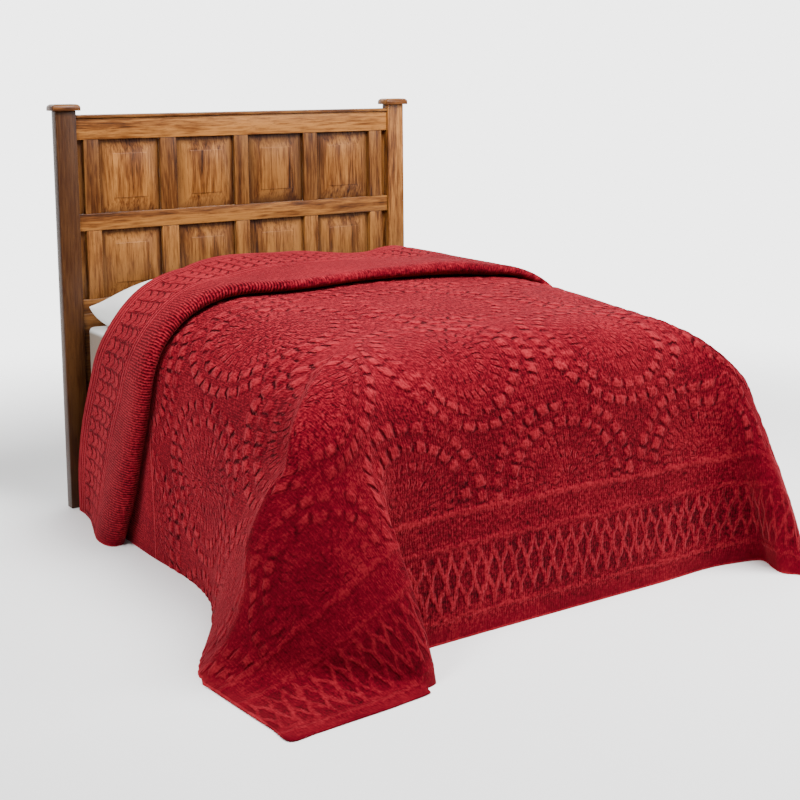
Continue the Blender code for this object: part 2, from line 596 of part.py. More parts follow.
# ---------------------------------------------------------------- the part
def main():
    """Build the bedspread and the bed under it."""
    for obj in list(bpy.data.objects):
        bpy.data.objects.remove(obj, do_unlink=True)
    collection = bpy.data.collections.new(COLLECTION)
    bpy.context.scene.collection.children.link(collection)

    chenille = principled("chenille", (0.30, 0.012, 0.022), 0.95)
    wood = principled("wood", (0.22, 0.095, 0.040), 0.45)
    white = principled("white_cotton", (0.80, 0.79, 0.77), 0.90)
    dark = principled("base_cloth", (0.055, 0.045, 0.042), 0.90)

    def add(mesh, material):
        """Put one finished mesh in the collection."""
        mesh.materials.append(material)
        obj = bpy.data.objects.new(mesh.name, mesh)
        collection.objects.link(obj)
        return obj

    add(sheet_mesh(mid_surface(), "bedspread"), chenille)
    add(quilt("quilt"), white)
    for name, x, width in PILLOWS:
        add(pillow(name, x, width), white)
    m, b = MATTRESS, BASE
    add(box("mattress", (-m["width"] / 2, m["width"] / 2), (m["foot"], m["head"]),
            (m["bottom"], m["top"]), m["round"], 4), white)
    add(box("box_base", (-b["width"] / 2, b["width"] / 2), (b["foot"], b["head"]),
            (b["bottom"], b["top"]), b["round"], 2), dark)
    reach = b["width"] / 2 - FOOT_INSET
    spots = [(sx * (reach - FOOT_SIZE / 2), y) for sx in (-1, 1)
             for y in (b["head"] - FOOT_INSET - FOOT_SIZE / 2, b["foot"] + FOOT_INSET + FOOT_SIZE / 2)]
    for k, (x, y) in enumerate(spots, 1):
        h = FOOT_SIZE / 2
        add(box(f"base_foot_{k}", (x - h, x + h), (y - h, y + h), (0.0, b["bottom"] - SLIP), FOOT_ROUND),
            dark)

    inner = POST_GAP / 2
    for side, sign in (("left", -1), ("right", 1)):
        x = sorted((sign * inner, sign * (inner + POST_W)))
        add(box(f"post_{side}", x, (0.0, POST_D), (0.0, POST_H), EDGE_ROUND), wood)
        over = [x[0] - CAP_OVER, x[1] + CAP_OVER]
        add(box(f"cap_{side}", over, (-CAP_OVER, POST_D + CAP_OVER),
                (POST_H + SLIP, POST_H + SLIP + CAP_H), CAP_ROUND, 3), wood)
    rail_x = (-inner + SLIP, inner - SLIP)
    for name, bottom, top in RAILS:
        add(box(name, rail_x, (RAIL_FRONT, RAIL_BACK), (bottom, top), EDGE_ROUND), wood)
    add(box("ledge", rail_x, (LEDGE["front"], LEDGE["back"]), (LEDGE["bottom"], LEDGE["top"]),
            LEDGE["round"], 2), wood)
    tops = [(RAILS[1][2], RAILS[0][1]), (RAILS[2][2], RAILS[1][1])]
    for level, (low, high) in zip(("upper", "lower"), tops):
        z = (low + SLIP, high - SLIP)
        for name, centre, width in STILES:
            x = (centre - width / 2, centre + width / 2)
            if name in OUTER_STILES:
                post_x = math.copysign(rail_x[1], centre)
                add(outer_stile(f"{name}_{level}", x, z, post_x), wood)
            else:
                add(box(f"{name}_{level}", x, (STILE_FRONT, RAIL_BACK), z, EDGE_ROUND), wood)
        for k, (a, c) in enumerate(zip(STILES, STILES[1:]), 1):
            x = (a[1] + a[2] / 2 + SLIP, c[1] - c[2] / 2 - SLIP)
            add(raised_panel(f"panel_{k}_{level}", x, z), wood)


main()
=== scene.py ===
"""A chenille bedspread on a made bed, with its pile, tufted motifs, timber headboard and bedding.

Metres, +Z up.  The bed's own frame has x = 0 at the middle of the headboard, y = 0 at the front of
its posts and the floor at z = 0; BED_X and HEAD_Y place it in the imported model's frame.
"""
import json
import logging
import math
from dataclasses import dataclass, field, replace
from enum import Enum
from functools import reduce
from typing import Callable, Sequence

import bpy
import numpy as np
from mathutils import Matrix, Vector

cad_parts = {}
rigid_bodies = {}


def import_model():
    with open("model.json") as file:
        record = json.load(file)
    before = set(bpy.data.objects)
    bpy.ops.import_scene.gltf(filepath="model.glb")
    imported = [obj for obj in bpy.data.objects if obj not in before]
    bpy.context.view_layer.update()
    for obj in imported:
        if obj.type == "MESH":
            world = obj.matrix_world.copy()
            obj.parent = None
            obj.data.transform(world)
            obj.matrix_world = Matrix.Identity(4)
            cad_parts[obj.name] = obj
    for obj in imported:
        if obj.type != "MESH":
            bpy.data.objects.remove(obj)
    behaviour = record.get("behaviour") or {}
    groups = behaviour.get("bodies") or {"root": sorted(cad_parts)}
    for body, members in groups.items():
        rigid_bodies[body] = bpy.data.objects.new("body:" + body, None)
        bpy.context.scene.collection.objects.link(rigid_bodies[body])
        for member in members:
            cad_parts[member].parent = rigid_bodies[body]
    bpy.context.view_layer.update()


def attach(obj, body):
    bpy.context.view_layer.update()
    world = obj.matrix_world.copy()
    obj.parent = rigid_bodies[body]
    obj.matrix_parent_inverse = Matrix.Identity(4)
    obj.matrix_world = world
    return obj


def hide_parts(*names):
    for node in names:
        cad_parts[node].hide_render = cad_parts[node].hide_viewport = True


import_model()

LOG = logging.getLogger("bedspread")

BED_X = -0.0528
HEAD_Y = 1.0985

Points = np.ndarray                 # places, or numbers at them
Span = tuple[float, float]          # from where to where, or any two numbers
Shade = tuple[float, float, float]  # a colour, or any three numbers
Piece = bpy.types.Object
Socket = bpy.types.NodeSocket
TINY = 1e-6                         # a length that counts as none
DOUBLES = 0.00002                   # points nearer than this are one

# ---------------------------------------------------------------- the bedspread's named places
X_LEFT, X_RIGHT = -0.42, 0.48          # the flat middle of the top
X_MIDDLE, X_HALF = (X_LEFT + X_RIGHT) / 2, (X_RIGHT - X_LEFT) / 2
Y_FOOT = -1.60                         # where the top starts to round over the foot end
SIDE_LEFT, SIDE_RIGHT = -0.757, 0.805  # the hanging sides
SIDE_FOOT = -1.957                     # the hanging foot end
DROP_Z = 0.600                         # height where a side has turned upright
CROWN_Z = 0.935                        # highest part of the top
CROWN_SIDE, CROWN_FOOT = 0.018, 0.036  # how much lower its sides and its foot end are
CROWN_FROM = -1.0                      # where the top starts to fall towards the foot end
HEART = (X_MIDDLE, -1.10, 0.30)        # a place well inside the bed
# How square the shoulders are: 2 is a quarter circle, and more is squarer.
ROUND_LEFT, ROUND_FOOT, ROUND_RIGHT = 2.2, 3.0, 2.4
ROUND_LEFT_CORNER, ROUND_RIGHT_CORNER = 2.0, 1.6
BEND = 0.05                            # length over which a bend is eased
LOW_HANG, LOW_LIE = 0.16, 0.055        # heights where the lowest stretch of cloth starts, hanging or lying
LOW_KNEE = 0.03                        # height of the knee on a line that hangs, for each LYING that lies
LYING, LYING_FAR = 0.030, 0.15         # lengths on the floor: cloth that lies, and that lies fully
FLARE = 1.3                            # power by which a hem swings out on its way down
CLOTH = 0.006                          # thickness with its pile
REST = CLOTH / 2                       # height of its middle where it lies on the floor
HEM_ROLL = 0.0025                      # how far the hem's edge bulges
HEM_IN = (0.20, 0.010, 0.003)          # beside the left corner: length, and how far its foot hem draws in
# Soft swells of a hanging side: height, length, shift; then the shares of its length where they set in.
SWELLS = ((0.006, 0.46, 0.35), (0.003, 0.19, 0.0))
SWELLS_IN = (0.35, 0.65)
SWELLS_CALM = (-1.45, -1.20, 0.3)      # y where they have died out towards the foot, and are full; power
NOSE_START, NOSE_END, NOSE_LIFT = 0.075, 0.046, 0.056
NOSE_FLAT, NOSE_FULL = 0.27, 0.41      # share of the nose's height where its puff starts and is full
FLAT_WIDTH, FLAT_LENGTH = 3.12, 2.80   # the sheet before it was laid on the bed

# Lines of the head fold, from the left hem over the top to the right hem.
#    side     down   hem_y   nose_y  tuck_y  lift   puff
FOLD_LINES = (
    ("left",  1.00, -0.030, -0.534, -0.430, 0.002, 1.60),
    ("left",  0.84, -0.040, -0.640, -0.470, 0.002, 1.50),
    ("left",  0.68, -0.095, -0.712, -0.500, 0.002, 1.30),
    ("left",  0.48, -0.215, -0.795, -0.560, 0.002, 1.10),
    ("left",  0.30, -0.312, -0.838, -0.600, 0.004, 1.00),
    ("left",  0.10, -0.305, -0.893, -0.650, 0.018, 0.95),
    ("top",  -0.42, -0.300, -0.930, -0.690, 0.032, 0.90),
    ("top",   0.03, -0.280, -1.000, -0.760, 0.040, 0.90),
    ("top",   0.48, -0.245, -1.045, -0.830, 0.034, 0.90),
    ("right", 0.10, -0.225, -1.060, -0.865, 0.046, 0.78),
    ("right", 0.30, -0.200, -1.100, -0.910, 0.040, 0.62),
    ("right", 0.48, -0.150, -1.060, -0.880, 0.012, 0.80),
    ("right", 0.68, -0.090, -0.985, -0.820, 0.002, 1.20),
    ("right", 0.84, -0.050, -0.900, -0.760, 0.002, 1.50),
    ("right", 1.00, -0.030, -0.800, -0.690, 0.002, 1.60),
)

# The fold's section from the band's hem to the round-over at the foot; the last column is how many
# rows of cloth are made up to the next line.
#    part     share   lift   rows
FOLD_ROWS = (
    ("band",  0.000,  0.00,  8),
    ("band",  0.180,  0.03,  8),
    ("band",  0.370,  0.14,  8),
    ("band",  0.560,  0.38,  8),
    ("band",  0.750,  0.64,  6),
    ("band",  0.900,  0.86,  4),
    ("nose",  0.075,  0.97,  4),
    ("nose",  0.040,  1.00,  2),
    ("nose",  0.014,  0.92,  2),
    ("nose",  0.002,  0.72,  2),
    ("nose",  0.004,  0.50,  2),
    ("nose",  0.020,  0.33,  2),
    ("nose",  0.046,  0.27,  2),
    ("tuck",  0.450,  0.27,  2),
    ("tuck",  0.850,  0.27,  2),
    ("tuck",  1.000,  0.23,  2),
    ("turn",  0.007,  0.135, 2),
    ("tuck",  1.000,  0.04,  2),
    ("main",  0.025,  0.00,  2),
    ("main",  0.100,  0.00,  4),
    ("main",  0.190,  0.00,  6),
    ("main",  0.280,  0.00, 10),
    ("main",  0.400,  0.00, 10),
    ("main",  0.520,  0.00, 10),
    ("main",  0.640,  0.00, 10),
    ("main",  0.760,  0.00, 10),
    ("main",  0.880,  0.00, 10),
    ("main",  1.000,  0.00,  0),
)

# How far the hem of each side swings out before the corner, by the y where that cloth left the top.
#    y_top    out    towards the head
SIDE_FLARE = (
    (-1.15, 0.000, 0.000),
    (-1.30, 0.022, 0.015),
    (-1.45, 0.074, 0.082),
    (-1.60, 0.132, 0.151),
)

# Foot corners, from the side (turn 0) over the cloth's own corner (0.5) to the foot end (1).
#    turn    drop_x  drop_y   land_x  land_y   hem_x   hem_y   swing
LEFT_CORNER = (
    (0.000, -0.757, -1.600,  -0.889, -1.449,  -0.889, -1.449,  0.00),
    (0.140, -0.780, -1.750,  -0.985, -1.585,  -0.992, -1.594,  0.40),
    (0.245, -0.842, -1.858,  -1.066, -1.719,  -1.081, -1.736,  0.90),
    (0.279, -0.857, -1.876,  -1.082, -1.757,  -1.098, -1.774,  1.00),
    (0.310, -0.853, -1.893,  -1.062, -1.797,  -1.094, -1.840,  1.00),
    (0.350, -0.838, -1.912,  -1.028, -1.845,  -1.090, -1.920,  0.80),
    (0.420, -0.807, -1.940,  -0.960, -1.930,  -1.081, -2.080,  0.50),
    (0.465, -0.789, -1.953,  -0.917, -1.975,  -1.075, -2.172,  0.40),
    (0.500, -0.775, -1.964,  -0.880, -2.015,  -1.071, -2.256,  0.30),
    (0.535, -0.760, -1.973,  -0.838, -2.050,  -0.990, -2.255,  0.20),
    (0.580, -0.745, -1.979,  -0.785, -2.090,  -0.898, -2.250,  0.10),
    (0.660, -0.716, -1.987,  -0.685, -2.155,  -0.712, -2.238,  0.00),
    (0.730, -0.686, -1.988,  -0.598, -2.190,  -0.592, -2.213,  0.00),
    (0.760, -0.662, -1.983,  -0.563, -2.170,  -0.560, -2.177,  0.00),
    (0.790, -0.634, -1.974,  -0.580, -2.112,  -0.580, -2.112,  0.00),
    (0.860, -0.566, -1.962,  -0.672, -2.005,  -0.672, -2.005,  0.00),
    (0.930, -0.494, -1.958,  -0.575, -1.970,  -0.575, -1.970,  0.00),
    (1.000, -0.420, -1.957,  -0.430, -1.960,  -0.430, -1.960,  0.00),
)
RIGHT_CORNER = (
    (0.000,  0.805, -1.600,   0.937, -1.449,   0.937, -1.449,  0.00),
    (0.140,  0.826, -1.750,   1.033, -1.585,   1.040, -1.594,  0.20),
    (0.245,  0.862, -1.868,   1.114, -1.715,   1.130, -1.730,  0.50),
    (0.290,  0.874, -1.912,   1.132, -1.765,   1.150, -1.780,  0.50),
    (0.350,  0.876, -1.950,   1.118, -1.850,   1.162, -1.915,  0.40),
    (0.430,  0.873, -1.978,   1.095, -1.965,   1.182, -2.080,  0.20),
    (0.465,  0.868, -1.987,   1.075, -2.020,   1.192, -2.160,  0.10),
    (0.500,  0.862, -1.995,   1.052, -2.068,   1.200, -2.243,  0.00),
    (0.535,  0.854, -2.000,   1.030, -2.105,   1.128, -2.245,  0.00),
    (0.600,  0.838, -2.004,   0.992, -2.150,   1.080, -2.243,  0.00),
    (0.680,  0.806, -2.002,   0.935, -2.180,   0.950, -2.216,  0.00),
    (0.725,  0.775, -1.994,   0.896, -2.130,   0.896, -2.136,  0.00),
    (0.760,  0.742, -1.982,   0.912, -2.075,   0.912, -2.075,  0.00),
    (0.800,  0.695, -1.968,   0.938, -2.006,   0.938, -2.006,  0.00),
    (0.860,  0.624, -1.959,   0.815, -1.960,   0.815, -1.960,  0.00),
    (1.000,  0.480, -1.957,   0.480, -1.957,   0.480, -1.957,  0.00),
)
# How far the sheet has slipped as it was laid: the cloth found at a place of the smooth drape is the
# cloth cut this much further across and along.
#    name               across  along   d_across  d_along
SLIPPED = (
    ("foot_left",        -0.55,  0.43,   0.02,     0.00),
    ("foot_middle",       0.07,  0.43,   0.00,     0.00),
    ("foot_right",        0.63,  0.43,   0.02,     0.00),
    ("foot_edge",         0.20,  0.66,   0.03,     0.02),
    ("foot_edge_left",   -0.05,  0.87,   0.11,     0.07),
    ("foot_edge_right",   0.55,  0.87,   0.11,     0.07),
    ("top_left",         -0.37,  1.37,   0.14,     0.08),
    ("top_right",         0.21,  1.31,   0.15,     0.14),
    ("shoulder_left",    -0.65,  1.43,   0.12,     0.02),
    ("side_high",        -0.91,  1.59,   0.09,    -0.14),
    ("side_middle",      -1.18,  1.59,   0.06,    -0.14),
    ("side_low",         -1.05,  1.30,   0.08,    -0.11),
    ("corner_shoulder",  -0.84,  0.93,   0.02,     0.01),
    ("flap_top",         -0.91,  0.55,  -0.02,     0.05),
    ("flap",             -1.10,  0.43,   0.00,     0.03),
    ("flap_side",        -1.40,  0.80,   0.00,     0.00),
    ("hem_foot",          0.10,  0.05,   0.00,     0.00),
    ("hem_foot_left",    -0.50,  0.05,   0.00,     0.00),
    ("band_left",        -1.20,  2.40,   0.00,     0.00),
    ("band_middle",       0.00,  2.35,   0.00,     0.00),
)
SLIP_REACH = 0.20  # how far each slip is felt
SLIP_FAR = 1e-4    # weight that every slip keeps however far away it is
# How far a corner's cloth has swung out, by how far down it is.
SWING = ((0.00, 0.00), (0.11, 0.19), (0.33, 0.42), (0.61, 0.49), (0.73, 0.58), (0.87, 0.75), (1.00, 1.00))


# ---------------------------------------------------------------- curves
def slopes(values: Points, steps: Points) -> Points:
    """Slopes of a smooth curve at its rows of values.

    Args:
        values: The rows, one value or place each.
        steps: Distances between them.

    Returns:
        A slope for every row.
    """
    slope = np.diff(values, axis=0) / steps
    inner = (slope[:-1] * steps[1:] + slope[1:] * steps[:-1]) / (steps[:-1] + steps[1:])
    return np.concatenate([slope[:1], inner, slope[-1:]])


def cubic(t: Points, step: Points, ends: Sequence[Points], slope: Sequence[Points]) -> Points:
    """The cubic that joins two rows.

    Args:
        t: Share of the way, from 0 to 1.
        step: Distance between the rows.
        ends: The two rows' values.
        slope: Their slopes.

    Returns:
        The values on the way.
    """
    return ((2 * t**3 - 3 * t**2 + 1) * ends[0] + (t**3 - 2 * t**2 + t) * step * slope[0]
            + (3 * t**2 - 2 * t**3) * ends[1] + (t**3 - t**2) * step * slope[1])


def curve_through(xs: Sequence[float], ys: Sequence[float]) -> Callable:
    """A smooth function through table rows.

    Args:
        xs: Places along the table, rising.
        ys: Values there.

    Returns:
        A function of one number or array.
    """
    xs, ys = np.asarray(xs, float), np.asarray(ys, float)
    step = np.diff(xs)
    slope = slopes(ys, step)

    def value(x: Points) -> Points:
        """The curve.

        Args:
            x: Places along the table.

        Returns:
            Its values there.
        """
        x = np.clip(x, xs[0], xs[-1])
        k = np.clip(np.searchsorted(xs, x, side="right") - 1, 0, len(xs) - 2)
        return cubic((x - xs[k]) / step[k], step[k], (ys[k], ys[k + 1]), (slope[k], slope[k + 1]))

    return value


def lengths(path: Points) -> Points:
    """Length along a polyline up to each of its points."""
    return np.concatenate([[0.0], np.cumsum(np.linalg.norm(np.diff(path, axis=0), axis=1))])


def at_shares(path: Points, shares: Points) -> Points:
    """Points at shares of a polyline's length."""
    s = lengths(path)
    return np.stack([np.interp(np.asarray(shares) * s[-1], s, path[:, k]) for k in range(3)], axis=1)


def ease(path: Points, length: float) -> Points:
    """Round the bends of a polyline by averaging over a sliding length.

    Args:
        path: The polyline's points.
        length: Length averaged over; it shrinks to nothing at the ends, which stay put.

    Returns:
        As many points, evenly spaced.
    """
    s = lengths(path)
    even = np.linspace(0.0, s[-1], len(path))
    p = np.stack([np.interp(even, s, path[:, k]) for k in range(3)], axis=1)
    reach = np.minimum(length / 2, np.minimum(even, s[-1] - even))
    whole = np.concatenate([np.zeros((1, 3)), np.cumsum((p[1:] + p[:-1]) / 2 * even[1], axis=0)])
    wide = reach > TINY
    out = p.copy()
    for k in range(3):
        high = np.interp(even + reach, even, whole[:, k])
        low = np.interp(even - reach, even, whole[:, k])
        out[wide, k] = (high[wide] - low[wide]) / (2 * reach[wide])
    return out


def refine_rows(rows: Points, counts: Sequence[int]) -> Points:
    """Fill in rows of points with smooth curves through each column.

    Args:
        rows: Array (row, column, coordinate); its first three coordinates are a place.
        counts: Steps to the next row, for every row but the last.

    Returns:
        The array with the new rows in it.
    """
    chord = np.linalg.norm(np.diff(rows[..., :3], axis=0), axis=2)
    chord = np.maximum(chord, TINY)[..., None]
    slope = slopes(rows, chord)
    out = [cubic(i / steps, chord[k], rows[k:k + 2], slope[k:k + 2])
           for k, steps in enumerate(counts[:len(rows) - 1]) for i in range(steps)]
    return np.array([*out, rows[-1]])


# ---------------------------------------------------------------- the drape
def crown(x: Points, y: Points) -> Points:
    """Height of the top's middle: highest along the bed's centre line, lower towards the foot.

    Args:
        x: Places across the bed.
        y: Places along it.

    Returns:
        Their heights.
    """
    across = (x - X_MIDDLE) / X_HALF
    down = np.clip((CROWN_FROM - y) / (CROWN_FROM - Y_FOOT), 0.0, 1.0)
    return CROWN_Z - CROWN_SIDE * across**2 - CROWN_FOOT * down**2


@dataclass
class HangingLine:
    """One line of the cloth from the flat middle over the shoulder and down to its hem."""

    start: Sequence[float]
    drop: Sequence[float]
    land: Sequence[float]
    hem: Sequence[float]
    square: float
    swing: float = 0.0
    path: Points = field(init=False)
    marks: Points = field(init=False)

    SHOULDER = 60  # points round the shoulder
    FALL = 120     # points down the fall
    SAMPLES = 240  # points of the finished line
    SETTLE = 0.6   # height where cloth starts to bend onto the floor, for each length that lies

    def __post_init__(self) -> None:
        """Work out the line and the shares of its length where its stretches end."""
        start, drop, land, hem = (np.array(p, float) for p in (self.start, self.drop, self.land, self.hem))
        turn = np.linspace(0.0, math.pi / 2, self.SHOULDER)
        out, high = np.sin(turn) ** (2 / self.square), np.cos(turn) ** (2 / self.square)
        shoulder = np.column_stack([start + out[:, None] * (drop - start),
                                    DROP_Z + (crown(*start) - DROP_Z) * high])
        flat = float(np.linalg.norm(hem - land))
        low = LOW_HANG + (LOW_LIE - LOW_HANG) * min(1.0, flat / LYING_FAR)
        lying = flat > LYING
        z = np.linspace(DROP_Z, min(LOW_LIE, self.SETTLE * flat) if lying else 0.0, self.FALL)[1:]
        early = curve_through(*zip(*SWING))(1.0 - z / DROP_Z)
        spread = (1.0 - self.swing) * (1.0 - (z / DROP_Z) ** FLARE) + self.swing * early
        path = np.concatenate([shoulder, np.column_stack([drop + spread[:, None] * (land - drop), z])])
        knee_at = self.SHOULDER // 2
        if lying:
            t = np.linspace(0.0, 1.0, self.SHOULDER)[1:, None]
            knee, end = np.array([*land, REST]), np.array([*hem, REST])
            path = np.concatenate([path, (1 - t) ** 2 * path[-1] + 2 * t * (1 - t) * knee + t**2 * end])
        s = lengths(path)
        top = self.SHOULDER - 1
        s_low, s_knee = np.interp((-low, LOW_KNEE * (flat / LYING - 1.0)), -path[top:, 2], s[top:])
        self.marks = np.array([s[top], s_low, s[-knee_at] if lying else s_knee, s[-1]]) / s[-1]
        even = np.linspace(0.0, s[-1], self.SAMPLES)
        self.path = ease(np.stack([np.interp(even, s, path[:, k]) for k in range(3)], axis=1), BEND)

    def shares(self, steps: Sequence[int]) -> Points:
        """Shares of the length for so many steps in each stretch."""
        ends = np.concatenate([[0], np.cumsum(steps)])
        return np.interp(np.arange(ends[-1] + 1), ends, [0.0, *self.marks])


class HeadFold:
    """The turned-back band at the head: where each of its rows lies across the bed."""

    def __init__(self) -> None:
        """Put smooth curves through the fold's lines, placed from -1 to 1 on the top and on past it."""
        place = {"left": lambda d: -1.0 - d, "top": self.across, "right": lambda d: 1.0 + d}
        at = [place[side](down) for side, down, *_ in FOLD_LINES]
        columns = zip(*[row[2:] for row in FOLD_LINES])
        self.hem, self.nose, self.tuck, self.lift, self.puff = (curve_through(at, v) for v in columns)

    @staticmethod
    def across(x: Points) -> Points:
        """Position on the flat middle, from -1 at its left edge to 1 at its right edge."""
        return (x - X_MIDDLE) / X_HALF

    def row(self, part: str, share: float, lift: float, where: Points) -> tuple[Points, Points]:
        """One row of the fold.

        Args:
            part: Which part of the fold the row belongs to.
            share: Place along that part.
            lift: Share of the nose's height.
            where: Places across the bed.

        Returns:
            y, and the height above the cloth's bed.
        """
        hem, nose, tuck, puff = (f(where) for f in (self.hem, self.nose, self.tuck, self.puff))
        start, crease = nose + NOSE_START * puff, nose + NOSE_END * puff
        y = {"band": hem + share * (start - hem), "nose": nose + share * puff,
             "tuck": crease + share * (tuck - crease), "turn": tuck + share,
             "main": tuck + share * (Y_FOOT - tuck)}[part]
        rising = min(1.0, (lift - NOSE_FLAT) / (NOSE_FULL - NOSE_FLAT))
        full = {"band": 1.0, "nose": rising}.get(part, 0.0)
        rise = lift * NOSE_LIFT * (1.0 + full * (puff - 1.0))
        if part == "band":
            rise = rise + (1.0 - lift) * self.lift(where)
        return y, rise


def slipped(flat: Points) -> Points:
    """Where the cloth found at smooth places was really cut, with its slips blended between them.

    Args:
        flat: Places (point, 2) of the smooth drape on the flat sheet.

    Returns:
        The same points' places on the sheet as it slipped.
    """
    _, *columns = zip(*SLIPPED)
    at_u, at_v, by_u, by_v = (np.array(c) for c in columns)
    far = (flat[:, 0, None] - at_u) ** 2 + (flat[:, 1, None] - at_v) ** 2
    near = np.exp(-far / (2 * SLIP_REACH**2)) + SLIP_FAR
    near /= near.sum(axis=1)[:, None]
    return flat + np.column_stack([near @ by_u, near @ by_v])


def waves(y: Points, down: Points) -> Points:
    """Soft unevenness of a hanging side: a trough beside the fold, then slow swells.

    Args:
        y: Places along the side.
        down: Shares of the cloth's way down to its hem.

    Returns:
        How far the cloth stands out there.
    """
    sway = sum(high * np.sin((y + shift) * 2 * math.pi / long) for high, long, shift in SWELLS)
    return sway * np.clip((down - SWELLS_IN[0]) / (SWELLS_IN[1] - SWELLS_IN[0]), 0.0, 1.0)


class Grid:
    """A patch of the sheet: rows of numbered points that share their borders with its neighbours."""

    def __init__(self, sheet: "SheetMesh", places: Points, flat: Points, **borders: Points) -> None:
        """Number the points, taking over those of any border given as top, bottom, left or right.

        Args:
            sheet: The mesh that the patch belongs to.
            places: Array (row, column, 3) of mid-surface points.
            flat: Array (row, column, 2) of the same points on the sheet laid flat.
            **borders: Numbers of points that another patch has made already.
        """
        rows, cols = places.shape[:2]
        self.ids = np.full((rows, cols), -1)
        at = {"top": np.s_[0, :], "bottom": np.s_[-1, :], "left": np.s_[:, 0], "right": np.s_[:, -1]}
        for side, ids in borders.items():
            self.ids[at[side]] = ids
        fresh = self.ids < 0
        self.ids[fresh] = len(sheet.places) + np.arange(int(fresh.sum()))
        sheet.places = np.concatenate([sheet.places, places[fresh]])
        sheet.flat = np.concatenate([sheet.flat, flat[fresh]])
        sheet.patches.append(self)
        self.facing = 1.0


@dataclass
class SheetMesh:
    """A sheet of cloth made of patches, given two skins and a rolled hem."""

    thickness: float
    roll: float
    places: Points = field(default_factory=lambda: np.zeros((0, 3)))
    flat: Points = field(default_factory=lambda: np.zeros((0, 2)))
    patches: list[Grid] = field(default_factory=list)

    @staticmethod
    def quads(ids: Points, step: int) -> Points:
        """Corner numbers of a patch's quads, taking every step-th line."""
        g = ids[::step, ::step]
        return np.stack([g[:-1, :-1], g[:-1, 1:], g[1:, 1:], g[1:, :-1]], axis=-1).reshape(-1, 4)

    def normals(self) -> Points:
        """Unit normals of the mid-surface at its points, on the pile side.

        Returns:
            One for each point.
        """
        total = np.zeros_like(self.places)
        for patch in self.patches:
            q = self.quads(patch.ids, 1)
            p = self.places[q]
            face = np.cross(p[:, 2] - p[:, 0], p[:, 3] - p[:, 1]) * patch.facing
            for k in range(4):
                np.add.at(total, q[:, k], face)
        return total / np.maximum(np.linalg.norm(total, axis=1), TINY**2)[:, None]

    def build(self, name: str, hems: Sequence[tuple[Points, Points]],
              tufts: Callable[[Points], Points]) -> Piece:
        """Make the closed mesh.

        Args:
            name: Name of the new object.
            hems: For each stretch of hem, its point numbers in order and those one line further in.
            tufts: How far the pile side stands up at flat places.

        Returns:
            The object, with the flat places as its UV map.
        """
        normal = self.normals()
        rise = normal * (self.thickness / 2)
        inner = self.places - rise
        outer = self.places + rise + normal * tufts(slipped(self.flat))[:, None]
        count = len(self.places)
        faces: list[tuple[int, ...]] = []
        for patch in self.patches:
            front = self.quads(patch.ids, 1)
            back = self.quads(patch.ids, 2) + count
            turned = patch.facing < 0
            faces += [tidy_face(q[::-1] if turned else q) for q in front.tolist()]
            faces += [tidy_face(q if turned else q[::-1]) for q in back.tolist()]
        edge, edge_flat = [], []
        for line, inside in hems:
            away = self.places[line] - self.places[inside]
            away /= np.linalg.norm(away, axis=1)[:, None]
            first = 2 * count + sum(map(len, edge))
            edge.append(self.places[line] + away * self.roll)
            edge_flat.append(self.flat[line])
            faces += self.hem_faces(line, first, count)
        places = np.concatenate([outer, inner, *edge])
        places[:, 2] = np.maximum(places[:, 2], 0.0)
        flat = slipped(np.concatenate([self.flat, self.flat, *edge_flat]))
        return cloth_object(name, places, [face for face in faces if face], flat)

    @staticmethod
    def hem_faces(line: Points, first: int, count: int) -> list[tuple[int, ...]]:
        """Faces that roll the hem over from the outer skin to the inner one.

        Args:
            line: Point numbers along the hem.
            first: Number of the hem's first point on its outermost line.
            count: Points in one skin.

        Returns:
            Corner numbers of each face.
        """
        faces: list[tuple[int, ...]] = []
        line = line.tolist()
        for k in range(0, len(line) - 1, 2):
            a, b, c = line[k:k + 3]
            p, q, r = first + k, first + k + 1, first + k + 2
            faces += [(a, b, q, p), (b, c, r, q), (p, q, a + count), (q, c + count, a + count),
                      (q, r, c + count)]
        return faces


def tidy_face(corners: Sequence[int]) -> tuple[int, ...]:
    """A face's corners without repeats; nothing where fewer than three are left."""
    kept = tuple(dict.fromkeys(corners))
    return kept if len(kept) > 2 else ()


def cloth_object(name: str, places: Points, faces: list[tuple[int, ...]], flat: Points) -> Piece:
    """Make a cloth's object in the frame.

    Args:
        name: The object's name.
        places: Points in the bed's frame.
        faces: Corner numbers.
        flat: The points' places on the flat sheet, in metres.

    Returns:
        The object, its normals outward, with no loose or doubled points.
    """
    mesh = bpy.data.meshes.new(name)
    mesh.from_pydata((places + (BED_X, HEAD_Y, 0.0)).tolist(), [], faces)
    uv = mesh.uv_layers.new(name="flat")
    corner = np.zeros(len(mesh.loops), int)
    mesh.loops.foreach_get("vertex_index", corner)
    uv.data.foreach_set("uv", flat[corner].ravel())
    obj = bpy.data.objects.new(name, mesh)
    bpy.context.scene.collection.objects.link(obj)
    Bench.edit(obj)
    bpy.ops.mesh.select_all(action="SELECT")
    bpy.ops.mesh.delete_loose()
    bpy.ops.mesh.select_all(action="SELECT")
    bpy.ops.mesh.remove_doubles(threshold=DOUBLES)
    bpy.ops.mesh.select_all(action="SELECT")
    bpy.ops.mesh.normals_make_consistent(inside=False)
    Bench.rest()
    bpy.ops.object.shade_smooth()
    return obj


